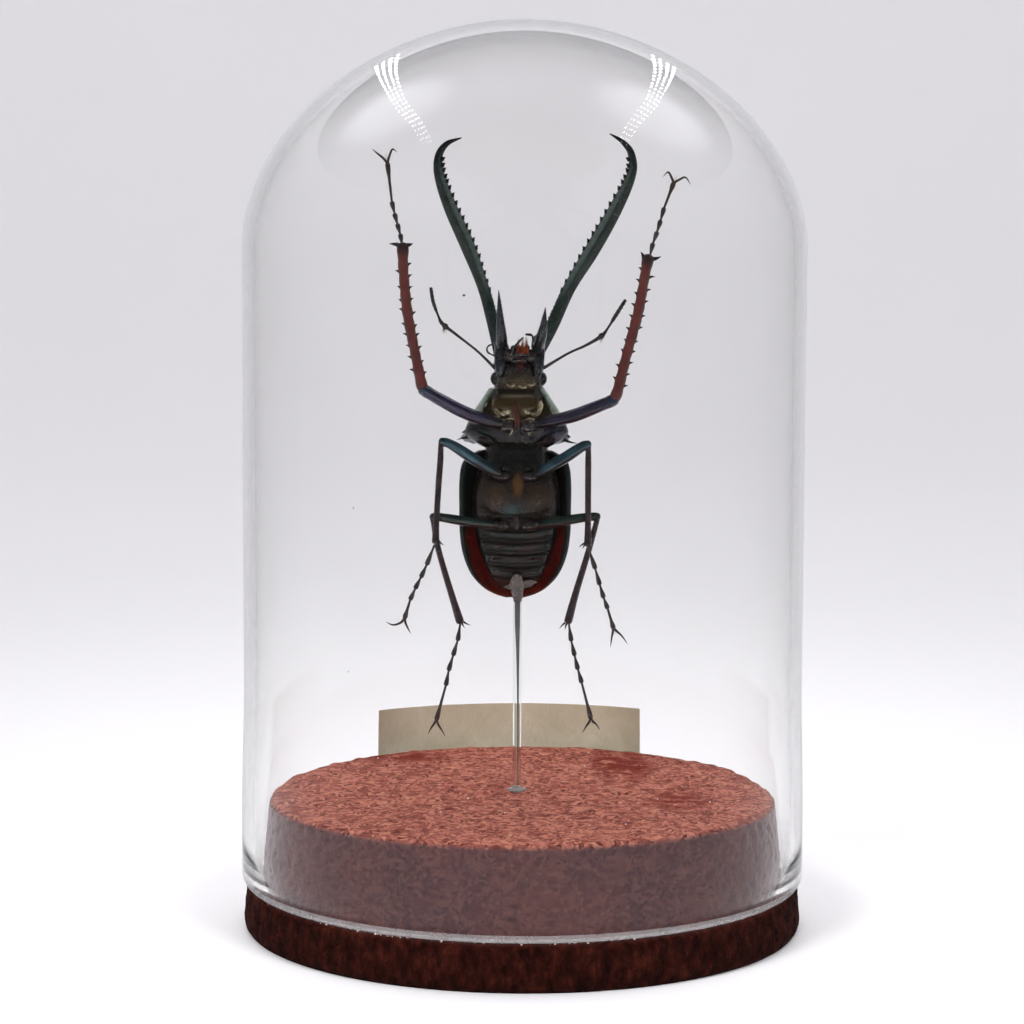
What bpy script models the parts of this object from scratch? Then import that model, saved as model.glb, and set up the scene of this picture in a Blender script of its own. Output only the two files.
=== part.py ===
"""A stag beetle held upright on a clear rod, on a stepped cork stand under a glass dome.

Lengths here are millimetres, and MM turns them into metres as each mesh is made. The
origin is the middle of the stand's underside, +Z is up, and the beetle's belly faces -Y.
Left and right are as seen from the front, so left is -X.
"""

import math

import bmesh
import bpy
from mathutils import Vector

MM = 0.001
GAP = 0.3
THIN_GAP = 0.12

# Cork stand: a flange that carries the dome, and a tapered plug inside the dome
FLANGE_RADIUS = 50.2
FLANGE_HEIGHT = 8.0
PLUG_FOOT_RADIUS = 47.3
PLUG_TOP_RADIUS = 45.6
STAND_HEIGHT = 24.0
EDGE_WEAR = 0.7
TURNED_SIDES = 40

# Glass dome
DOME_RADIUS = 50.0
DOME_FLARE = 0.5
FLARE_TOP = 45.0
FLARE_MIDDLE = 31.0
FLARE_FOOT = 20.0
DOME_WALL = 2.2
DOME_SHOULDER = 121.5
DOME_CROWN = 40.0
# The crown's curve: 2 is an exact ellipse, less is a little more pointed
CROWN_FULLNESS = 1.9
CROWN_STEPS = 7
RIM_BOTTOM = FLANGE_HEIGHT + GAP
# Steps inward from the outer wall, and heights above the rim's lowest ring
RIM_PROFILE = ((0.0, 4.0), (0.5, 1.2), (1.4, 0.0), (2.3, 0.5), (2.6, 1.8), (2.2, 5.0))

# Clear rod and its glue
ROD_RADIUS = 0.75
ROD_X = -1.0
ROD_BOTTOM = 12.0
ROD_TOP = 62.3
ROD_SIDES = 12
FOOT_GLUE_RADIUS = 1.9
FOOT_GLUE_HEIGHT = 0.8
FOOT_GLUE_SLOPE = (0.4, 0.24)
FOOT_GLUE_LIP = 0.15
BELLY_GLUE_SIZE = (1.9, 1.6, 1.9)
BELLY_GLUE_CENTRE = (ROD_X - 0.3, 0.7, 61.0)
BELLY_GLUE_SEGMENTS = (10, 7)

# Paper label on the outside of the dome's back
LABEL_BOTTOM = 20.5
LABEL_TOP = 31.2
LABEL_ANGLES = (-34.6, 27.5)
LABEL_THICKNESS = 0.15
LABEL_LIFT = 0.2
LABEL_STEPS = 8

# Beetle, seen from below: its middle line, and the height of its side margins
BODY_X = -1.3
MARGIN_Y = 3.0
LEG_SIDES = 6
LEG_DEPTH = 0.85
BELLY = Vector((0.0, -1.0, 0.0))
HEAD_SIDES = 12
BODY_SIDES = 14
BODY_ROUNDNESS = 0.9


def clear_scene():
    for obj in list(bpy.data.objects):
        bpy.data.objects.remove(obj, do_unlink=True)


def make_material(name, colour, roughness, metallic=0.0):
    material = bpy.data.materials.new(name)
    material.use_nodes = True
    shader = material.node_tree.nodes["Principled BSDF"]
    shader.inputs["Base Color"].default_value = (*colour, 1.0)
    shader.inputs["Roughness"].default_value = roughness
    shader.inputs["Metallic"].default_value = metallic
    return material


def make_materials():
    return {
        "cork": make_material("cork", (0.22, 0.055, 0.035), 0.85),
        "glass": make_material("glass", (0.85, 0.88, 0.88), 0.05),
        "acrylic": make_material("acrylic", (0.80, 0.82, 0.82), 0.1),
        "glue": make_material("glue", (0.78, 0.75, 0.72), 0.35),
        "paper": make_material("paper", (0.55, 0.49, 0.32), 0.8),
        "green": make_material("green_cuticle", (0.02, 0.06, 0.05), 0.25, 0.6),
        "bronze": make_material("bronze_cuticle", (0.16, 0.12, 0.05), 0.25, 0.6),
        "dark": make_material("dark_cuticle", (0.03, 0.035, 0.03), 0.3, 0.4),
        "wing_case": make_material("wing_case", (0.12, 0.03, 0.015), 0.25, 0.4),
        "violet": make_material("violet_cuticle", (0.05, 0.045, 0.12), 0.25, 0.6),
        "red_leg": make_material("red_leg", (0.19, 0.045, 0.03), 0.45),
        "dark_leg": make_material("dark_leg", (0.06, 0.035, 0.03), 0.45),
        "brush": make_material("mouth_brush", (0.45, 0.14, 0.03), 0.7),
    }


def add_piece(name, shape, material, sharp_angle=40.0):
    """Turn a mesh in millimetres into a shaded object in metres."""
    bmesh.ops.recalc_face_normals(shape, faces=shape.faces)
    bmesh.ops.scale(shape, vec=(MM, MM, MM), verts=shape.verts)
    mesh = bpy.data.meshes.new(name)
    shape.to_mesh(mesh)
    shape.free()
    mesh.shade_smooth()
    mesh.set_sharp_from_angle(angle=math.radians(sharp_angle))
    mesh.materials.append(material)
    piece = bpy.data.objects.new(name, mesh)
    bpy.context.scene.collection.objects.link(piece)
    return piece


# Ways of making shapes


def bridge(shape, ring, following):
    """Join two rings with faces; a ring of one point is a tip."""
    longest = max(len(ring), len(following))
    for i in range(longest):
        j = (i + 1) % longest
        if len(ring) == 1:
            shape.faces.new((ring[0], following[j], following[i]))
        elif len(following) == 1:
            shape.faces.new((ring[i], ring[j], following[0]))
        else:
            shape.faces.new((ring[i], ring[j], following[j], following[i]))


def skin(rings):
    """Skin a stack of rings of points, and close its two ends."""
    shape = bmesh.new()
    made = [[shape.verts.new(point) for point in ring] for ring in rings]
    for ring, following in zip(made, made[1:]):
        bridge(shape, ring, following)
    for end in (made[0], made[-1]):
        if len(end) > 1:
            shape.faces.new(end)
    bmesh.ops.recalc_face_normals(shape, faces=shape.faces)
    return shape


def turned(profile, sides, centre_x=0.0, closed=False):
    """Turn (radius, height) points about a vertical axis; a closed profile makes a ring."""
    rings = []
    for radius, height in profile:
        if radius == 0.0:
            rings.append([Vector((centre_x, 0.0, height))])
            continue
        angles = [2.0 * math.pi * i / sides for i in range(sides)]
        rings.append([
            Vector((centre_x + radius * math.cos(a), radius * math.sin(a), height))
            for a in angles
        ])
    if not closed:
        return skin(rings)
    shape = bmesh.new()
    made = [[shape.verts.new(point) for point in ring] for ring in rings]
    for ring, following in zip(made, made[1:] + made[:1]):
        bridge(shape, ring, following)
    return shape


def spline(points, count):
    """Even steps along a smooth curve through points of (x, y, z, half width)."""
    lengths = [0.0]
    for here, there in zip(points, points[1:]):
        lengths.append(lengths[-1] + (Vector(there[:3]) - Vector(here[:3])).length)

    def slope(i, axis):
        low, high = max(i - 1, 0), min(i + 1, len(points) - 1)
        return (points[high][axis] - points[low][axis]) / (lengths[high] - lengths[low])

    route = []
    span = 0
    for step in range(count):
        travel = lengths[-1] * step / (count - 1)
        while span < len(points) - 2 and travel > lengths[span + 1]:
            span += 1
        width = lengths[span + 1] - lengths[span]
        t = (travel - lengths[span]) / width
        route.append(tuple(
            (2 * t**3 - 3 * t**2 + 1) * points[span][axis]
            + (t**3 - 2 * t**2 + t) * width * slope(span, axis)
            + (3 * t**2 - 2 * t**3) * points[span + 1][axis]
            + (t**3 - t**2) * width * slope(span + 1, axis)
            for axis in range(4)
        ))
    return route


def directions(route):
    """The way forward and the way across at each point of a route, seen from the front."""
    found = []
    for i in range(len(route)):
        before = Vector(route[max(i - 1, 0)][:3])
        after = Vector(route[min(i + 1, len(route) - 1)][:3])
        forward = (after - before).normalized()
        found.append((forward, forward.cross(BELLY).normalized()))
    return found


def limb(route, sides=LEG_SIDES, depth=LEG_DEPTH, ridge=0.0):
    """Skin oval rings whose flats reach the half width; ridge raises the belly side."""
    corner = 1.0 / math.cos(math.pi / sides)
    rings = []
    for (x, y, z, half_width), (forward, across) in zip(route, directions(route)):
        deep = across.cross(forward)
        ring = []
        for i in range(sides):
            angle = 2.0 * math.pi * (i + 0.5) / sides
            reach = corner * half_width * depth * math.sin(angle)
            if reach < 0.0:
                reach *= 1.0 + ridge
            offset = across * (corner * half_width * math.cos(angle)) - deep * reach
            ring.append(Vector((x, y, z)) + offset)
        rings.append(ring)
    return skin(rings)


def pull_spines(shape, tips):
    """Pull the nearest four-sided face out to each tip, as a spine with a square root."""
    for tip in tips:
        quads = [face for face in shape.faces if len(face.verts) == 4]
        face = min(quads, key=lambda f: (f.calc_center_median() - tip).length)
        middle = bmesh.ops.poke(shape, faces=[face])["verts"][0]
        middle.co = tip


def ellipsoid(centre, size, segments):
    around, rows = segments
    blob = bmesh.new()
    bmesh.ops.create_uvsphere(blob, u_segments=around, v_segments=rows, radius=1.0)
    bmesh.ops.scale(blob, vec=size, verts=blob.verts)
    bmesh.ops.translate(blob, vec=centre, verts=blob.verts)
    return blob


def draw_out(shape, face, route):
    """Grow a tapering branch out of one face, through (x, y, z, half width) points."""
    heading = face.normal.copy()
    for x, y, z, half_width in route:
        centre = face.calc_center_median()
        reach = max((v.co - centre).length for v in face.verts)
        turn = heading.rotation_difference(Vector((x, y, z)) - centre)
        heading = (Vector((x, y, z)) - centre).normalized()
        face = bmesh.ops.extrude_discrete_faces(shape, faces=[face])["faces"][0]
        for v in face.verts:
            v.co = Vector((x, y, z)) + turn @ (v.co - centre) * (half_width / reach)


def combine(shape, other, operation):
    """Join another closed shape to this one, or cut it away, and return the result."""
    objects = []
    for name, part in (("main_shape", shape), ("tool_shape", other)):
        mesh = bpy.data.meshes.new(name)
        bmesh.ops.recalc_face_normals(part, faces=part.faces)
        part.to_mesh(mesh)
        part.free()
        obj = bpy.data.objects.new(name, mesh)
        bpy.context.scene.collection.objects.link(obj)
        objects.append(obj)
    boolean = objects[0].modifiers.new("combine", "BOOLEAN")
    boolean.operation = operation
    boolean.solver = "EXACT"
    boolean.object = objects[1]
    bpy.context.view_layer.update()
    evaluated = objects[0].evaluated_get(bpy.context.evaluated_depsgraph_get())
    result = bmesh.new()
    result.from_mesh(evaluated.to_mesh())
    for obj in objects:
        mesh = obj.data
        bpy.data.objects.remove(obj, do_unlink=True)
        bpy.data.meshes.remove(mesh)
    return result


def body_ring(z, half_width, above, below, sides=BODY_SIDES, centre_x=BODY_X):
    """A cross-section of the body: its back above the side margins, its belly below."""
    ring = []
    for i in range(sides):
        angle = 2.0 * math.pi * (i + 0.5) / sides
        rise = math.sin(angle)
        height = above if rise > 0.0 else below
        ring.append(Vector((
            centre_x + half_width * math.cos(angle) / math.cos(math.pi / sides),
            MARGIN_Y + height * math.copysign(abs(rise) ** BODY_ROUNDNESS, rise),
            z,
        )))
    return ring


# Stand, dome, rod, glue and label


def build_stand(materials):
    profile = [
        (0.0, 0.0),
        (FLANGE_RADIUS - EDGE_WEAR, 0.0),
        (FLANGE_RADIUS - 0.2 * EDGE_WEAR, EDGE_WEAR),
        (FLANGE_RADIUS, 3.0 * EDGE_WEAR),
        (FLANGE_RADIUS - 0.7 * EDGE_WEAR, FLANGE_HEIGHT - EDGE_WEAR),
        (FLANGE_RADIUS - 1.6 * EDGE_WEAR, FLANGE_HEIGHT),
        (PLUG_FOOT_RADIUS, FLANGE_HEIGHT),
        (PLUG_TOP_RADIUS, STAND_HEIGHT - EDGE_WEAR),
        (PLUG_TOP_RADIUS - EDGE_WEAR, STAND_HEIGHT),
        (0.0, STAND_HEIGHT),
    ]
    stand = turned(profile, TURNED_SIDES)
    room = ROD_RADIUS + THIN_GAP
    bore_ends = [(room, ROD_BOTTOM - THIN_GAP), (room, STAND_HEIGHT + GAP)]
    bore = turned(bore_ends, ROD_SIDES, ROD_X)
    add_piece("cork_stand", combine(stand, bore, "DIFFERENCE"), materials["cork"])


def dome_radius(height):
    """The dome's outer radius: straight glass that flares a little near the foot."""
    share = (FLARE_TOP - height) / (FLARE_TOP - FLARE_FOOT)
    share = min(max(share, 0.0), 1.0)
    return DOME_RADIUS + DOME_FLARE * share * share * (3.0 - 2.0 * share)


def crown_curve(radius, height):
    """Radius and height from the top of the dome's crown down to its shoulder."""
    power = 2.0 / CROWN_FULLNESS
    points = [(0.0, DOME_SHOULDER + height)]
    for i in range(1, CROWN_STEPS + 1):
        angle = math.pi / 2.0 * i / CROWN_STEPS
        rise = height * max(math.cos(angle), 0.0) ** power
        points.append((radius * math.sin(angle) ** power, DOME_SHOULDER + rise))
    return points


def build_dome(materials):
    foot = DOME_RADIUS + DOME_FLARE
    outer = crown_curve(DOME_RADIUS, DOME_CROWN)
    inner = crown_curve(DOME_RADIUS - DOME_WALL, DOME_CROWN - DOME_WALL)
    side = [(dome_radius(z), z) for z in (FLARE_TOP, FLARE_MIDDLE, FLARE_FOOT)]
    rim = [(foot - inward, RIM_BOTTOM + height) for inward, height in RIM_PROFILE]
    inside = [(dome_radius(z) - DOME_WALL, z) for z in (FLARE_FOOT, FLARE_TOP)]
    profile = outer + side + rim + inside + inner[::-1]
    add_piece("glass_dome", turned(profile, TURNED_SIDES), materials["glass"])


def build_rod(materials):
    rod = turned([(ROD_RADIUS, ROD_BOTTOM), (ROD_RADIUS, ROD_TOP)], ROD_SIDES, ROD_X)
    add_piece("support_rod", rod, materials["acrylic"])
    inside = ROD_RADIUS + THIN_GAP
    foot = STAND_HEIGHT + THIN_GAP
    inward, upward = FOOT_GLUE_SLOPE
    profile = [
        (inside, foot),
        (FOOT_GLUE_RADIUS, foot),
        (FOOT_GLUE_RADIUS - inward, foot + upward),
        (inside + FOOT_GLUE_LIP, foot + FOOT_GLUE_HEIGHT),
        (inside, foot + FOOT_GLUE_HEIGHT),
    ]
    glue = turned(profile, ROD_SIDES, ROD_X, closed=True)
    add_piece("rod_foot_glue", glue, materials["glue"])


def build_belly_glue(materials):
    blob = ellipsoid(BELLY_GLUE_CENTRE, BELLY_GLUE_SIZE, BELLY_GLUE_SEGMENTS)
    room = ROD_RADIUS + THIN_GAP
    rod_room = turned([(room, STAND_HEIGHT), (room, ROD_TOP + THIN_GAP)], ROD_SIDES, ROD_X)
    blob = combine(blob, rod_room, "DIFFERENCE")
    blob = combine(blob, abdomen_shape(THIN_GAP), "DIFFERENCE")
    add_piece("belly_glue", blob, materials["glue"])


def build_label(materials):
    first, last = (math.radians(a) for a in LABEL_ANGLES)
    rings = []
    for i in range(LABEL_STEPS + 1):
        angle = first + (last - first) * i / LABEL_STEPS
        ring = []
        for lift, height in (
            (LABEL_LIFT, LABEL_BOTTOM),
            (LABEL_LIFT + LABEL_THICKNESS, LABEL_BOTTOM),
            (LABEL_LIFT + LABEL_THICKNESS, LABEL_TOP),
            (LABEL_LIFT, LABEL_TOP),
        ):
            radius = dome_radius(height) + lift
            ring.append(Vector((radius * math.sin(angle), radius * math.cos(angle), height)))
        rings.append(ring)
    add_piece("paper_label", skin(rings), materials["paper"])


# Beetle's body

HEAD_X = -0.95
HEAD_RINGS = (
    (102.4, 3.9, 2.3, 2.6),
    (101.6, 4.4, 2.9, 3.3),
    (100.0, 4.5, 3.3, 3.8),
    (98.2, 4.2, 3.5, 4.0),
    (96.65, 4.5, 3.5, 4.0),
)
EYE_HEIGHT = 98.15
EYE_OUT = 4.15
EYE_SIZE = (0.95, 1.0, 1.15)
EYE_SEGMENTS = (8, 6)

PROTHORAX_RINGS = (
    (96.5, 5.0, 4.0, 3.6),
    (94.7, 6.2, 4.8, 4.3),
    (92.9, 7.4, 5.2, 4.7),
    (91.1, 8.4, 5.3, 4.6),
    (89.6, 9.1, 5.2, 4.3),
    (88.4, 9.3, 5.0, 4.0),
    (87.1, 8.2, 4.6, 3.6),
    (85.9, 5.9, 4.0, 3.2),
)
PROTHORAX_SPINES = (
    (-11.1, 3.0, 88.5),
    (-12.0, 3.4, 87.1),
    (8.4, 3.0, 87.8),
    (9.6, 3.4, 86.6),
)

HIND_THORAX_RINGS = (
    (85.75, 4.6, 2.4, 3.6),
    (83.6, 5.8, 2.9, 4.7),
    (81.0, 7.2, 3.4, 5.2),
    (77.5, 7.8, 3.6, 5.3),
    (73.1, 7.9, 3.7, 4.7),
)

ABDOMEN_RINGS = (
    (72.8, 7.8, 3.8, 4.5),
    (70.9, 7.9, 3.8, 4.1),
    (68.5, 7.8, 3.7, 3.6),
    (66.5, 7.3, 3.5, 3.1),
    (64.2, 6.5, 3.2, 2.4),
    (62.0, 5.0, 2.6, 1.5),
    (60.4, 3.0, 1.8, 0.6),
)
STERNITE_STEP = 0.22
ABDOMEN_TIP = 59.8
ABDOMEN_TIP_RISE = 0.6

WING_CASE_RINGS = (
    (85.3, 6.6, 3.6),
    (84.1, 8.7, 4.3),
    (82.6, 9.7, 4.8),
    (79.5, 10.1, 5.3),
    (75.0, 10.1, 5.5),
    (70.5, 10.0, 5.3),
    (66.5, 9.4, 4.8),
    (62.9, 7.9, 3.7),
    (60.4, 5.6, 2.3),
    (58.8, 2.8, 1.2),
)
WING_CASE_X = -1.5
WING_CASE_WALL = 0.4
WING_CASE_FOLD = 112.0
WING_CASE_STEPS = 7


def head_shape():
    rings = [
        body_ring(z, half, up, down, HEAD_SIDES, HEAD_X) for z, half, up, down in HEAD_RINGS
    ]
    head = skin(rings)
    for side in (-1.0, 1.0):
        centre = (HEAD_X + side * EYE_OUT, MARGIN_Y, EYE_HEIGHT)
        head = combine(head, ellipsoid(centre, EYE_SIZE, EYE_SEGMENTS), "UNION")
    return head


def prothorax_shape():
    rings = [body_ring(z, half, up, down) for z, half, up, down in PROTHORAX_RINGS]
    prothorax = skin(rings)
    pull_spines(prothorax, [Vector(tip) for tip in PROTHORAX_SPINES])
    return prothorax


def hind_thorax_shape():
    rings = [body_ring(z, half, up, down) for z, half, up, down in HIND_THORAX_RINGS]
    return skin(rings)


def abdomen_shape(margin=0.0):
    """The belly's plates overlap, so each one ends in a small step."""
    rings = []
    for i, (z, half_width, above, below) in enumerate(ABDOMEN_RINGS):
        if i > 0:
            drop = below + STERNITE_STEP + margin
            rings.append(body_ring(z, half_width + margin, above + margin, drop))
            z -= STERNITE_STEP
        rings.append(body_ring(z, half_width + margin, above + margin, below + margin))
    rings.append([Vector((BODY_X, MARGIN_Y + ABDOMEN_TIP_RISE, ABDOMEN_TIP - margin))])
    return skin(rings)


def wing_case_shape(side):
    """One wing case: a thin shell from the middle seam round to its folded side margin."""
    rings = []
    for z, half_width, rise in WING_CASE_RINGS:
        ring = []
        for wall, order in ((0.0, 1), (WING_CASE_WALL, -1)):
            loop = []
            for i in range(WING_CASE_STEPS + 1):
                angle = math.radians(WING_CASE_FOLD * i / WING_CASE_STEPS)
                x = 0.5 * GAP + (half_width - wall - 0.5 * GAP) * math.sin(angle)
                y = MARGIN_Y + (rise - wall) * math.cos(angle)
                loop.append(Vector((WING_CASE_X + side * x, y, z)))
            ring += loop[::order]
        rings.append(ring)
    return skin(rings)


def build_body(materials):
    add_piece("head", head_shape(), materials["bronze"])
    add_piece("prothorax", prothorax_shape(), materials["green"])
    add_piece("hind_thorax", hind_thorax_shape(), materials["bronze"])
    add_piece("abdomen", abdomen_shape(), materials["dark"])
    add_piece("wing_case_left", wing_case_shape(-1.0), materials["wing_case"])
    add_piece("wing_case_right", wing_case_shape(1.0), materials["wing_case"])


# Jaws, antennae and mouth parts

MANDIBLES = {
    "left": {
        "blade": (
            (-4.3, 2.5, 102.8, 1.1),
            (-5.6, 2.6, 108.1, 1.05),
            (-7.4, 2.4, 114.6, 1.0),
            (-10.3, 1.4, 122.2, 1.28),
            (-13.3, -0.3, 129.0, 1.18),
            (-15.1, -2.0, 134.5, 0.9),
            (-15.1, -3.3, 137.7, 0.7),
            (-13.7, -4.2, 139.7, 0.5),
            (-11.1, -5.0, 140.7, 0.1),
        ),
        "prong": (
            (-4.0, 1.6, 103.0, 1.0),
            (-4.0, -1.6, 105.2, 0.95),
            (-4.3, -3.6, 109.5, 0.55),
            (-4.5, -5.0, 114.1, 0.08),
        ),
        "inner": 1.0,
    },
    "right": {
        "blade": (
            (2.3, 2.5, 102.8, 1.15),
            (5.0, 2.6, 107.7, 1.14),
            (8.1, 2.5, 114.5, 1.1),
            (12.2, 1.7, 121.4, 1.32),
            (16.3, 0.0, 128.9, 1.2),
            (18.9, -2.0, 135.0, 0.8),
            (18.6, -3.3, 138.3, 0.65),
            (17.0, -4.2, 140.2, 0.45),
            (14.8, -5.0, 141.5, 0.1),
        ),
        "prong": (
            (2.1, 1.6, 103.0, 1.0),
            (2.8, -1.6, 105.0, 0.95),
            (3.4, -3.4, 107.5, 0.65),
            (3.7, -5.0, 111.1, 0.08),
        ),
        "inner": -1.0,
    },
}
BLADE_STEPS = 40
BLADE_TEETH = 22
FIRST_TOOTH = 11
TOOTH_LENGTH = 0.5
TOOTH_LEAN = 0.5
MANDIBLE_SIDES = 8
MANDIBLE_RIDGE = 0.15
PRONG_STEPS = 6

ANTENNAE = {
    "left": (
        (-5.6, 0.4, 100.6, 0.3),
        (-8.2, -0.5, 103.2, 0.25),
        (-12.7, -1.5, 106.7, 0.28),
        (-15.0, -2.0, 108.8, 0.38),
        (-16.1, -2.4, 111.9, 0.3),
        (-16.5, -2.8, 114.3, 0.25),
    ),
    "right": (
        (3.8, 0.4, 100.6, 0.3),
        (7.9, -0.5, 103.0, 0.25),
        (11.1, -1.0, 104.6, 0.28),
        (14.3, -2.0, 106.6, 0.38),
        (16.2, -2.4, 109.7, 0.3),
        (17.8, -2.8, 112.3, 0.25),
    ),
}
ANTENNA_STEPS = 18
ANTENNA_SIDES = 5
ANTENNA_DEPTH = 0.7
CLUB_START = 0.7
CLUB_SWELL = 1.5

PALPS = {
    "outer_left": (
        (-4.4, -1.2, 102.3, 0.2),
        (-6.4, -1.2, 103.0, 0.18),
        (-6.5, -1.4, 104.0, 0.18),
        (-5.2, -1.8, 104.7, 0.14),
    ),
    "inner_left": (
        (-2.3, -2.2, 102.7, 0.2),
        (-2.0, -2.7, 103.6, 0.18),
        (-1.1, -2.9, 104.8, 0.24),
        (-0.2, -3.0, 105.7, 0.16),
    ),
    "right": (
        (1.4, -2.2, 104.1, 0.16),
        (1.5, -2.8, 105.9, 0.18),
        (1.2, -3.0, 106.2, 0.26),
        (0.4, -3.2, 106.3, 0.16),
    ),
}
PALP_STEPS = 6
PALP_SIDES = 4
BRUSH_ROOT = (
    (-1.6, -1.2, 102.7, 0.3),
    (-0.4, -1.3, 102.8, 0.5),
    (1.0, -1.2, 102.7, 0.3),
)
BRUSH_TIPS = (
    (-1.3, -1.9, 104.9),
    (-0.9, -2.1, 105.9),
    (-0.3, -2.0, 105.3),
    (0.2, -2.1, 105.6),
    (0.6, -1.8, 104.7),
)


def mandible_shape(layout):
    route = spline(layout["blade"], BLADE_STEPS)
    blade = limb(route, sides=MANDIBLE_SIDES, ridge=MANDIBLE_RIDGE)
    ways = directions(route)
    tips = []
    for i in range(FIRST_TOOTH, FIRST_TOOTH + BLADE_TEETH):
        x, y, z, half_width = (0.5 * (a + b) for a, b in zip(route[i], route[i + 1]))
        forward, across = ways[i]
        reach = across * (layout["inner"] * (half_width + TOOTH_LENGTH))
        tips.append(Vector((x, y, z)) + reach + forward * (TOOTH_LEAN * TOOTH_LENGTH))
    pull_spines(blade, tips)
    prong = limb(spline(layout["prong"], PRONG_STEPS))
    return combine(blade, prong, "UNION")


def antenna_shape(points):
    """A long first joint, an elbow, and a club whose leaflets widen every other ring."""
    route = spline(points, ANTENNA_STEPS)
    swollen = []
    for i, (x, y, z, half_width) in enumerate(route):
        if i > CLUB_START * ANTENNA_STEPS and i % 2:
            half_width *= CLUB_SWELL
        swollen.append((x, y, z, half_width))
    return limb(swollen, sides=ANTENNA_SIDES, depth=ANTENNA_DEPTH)


def brush_shape():
    """A small lump that splits into tufts."""
    lump = limb(spline(BRUSH_ROOT, len(BRUSH_TIPS) + 1))
    pull_spines(lump, [Vector(tip) for tip in BRUSH_TIPS])
    return lump


def build_mouth(materials):
    for side, layout in MANDIBLES.items():
        add_piece(f"mandible_{side}", mandible_shape(layout), materials["green"], 30.0)
    for side, points in ANTENNAE.items():
        add_piece(f"antenna_{side}", antenna_shape(points), materials["dark_leg"])
    for place, points in PALPS.items():
        palp = limb(spline(points, PALP_STEPS), sides=PALP_SIDES, depth=1.0)
        add_piece(f"palp_{place}", palp, materials["dark_leg"])
    add_piece("mouth_brush", brush_shape(), materials["brush"])


# Legs: a thigh that starts at the body, a shin with spines, and a jointed foot with claws

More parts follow.
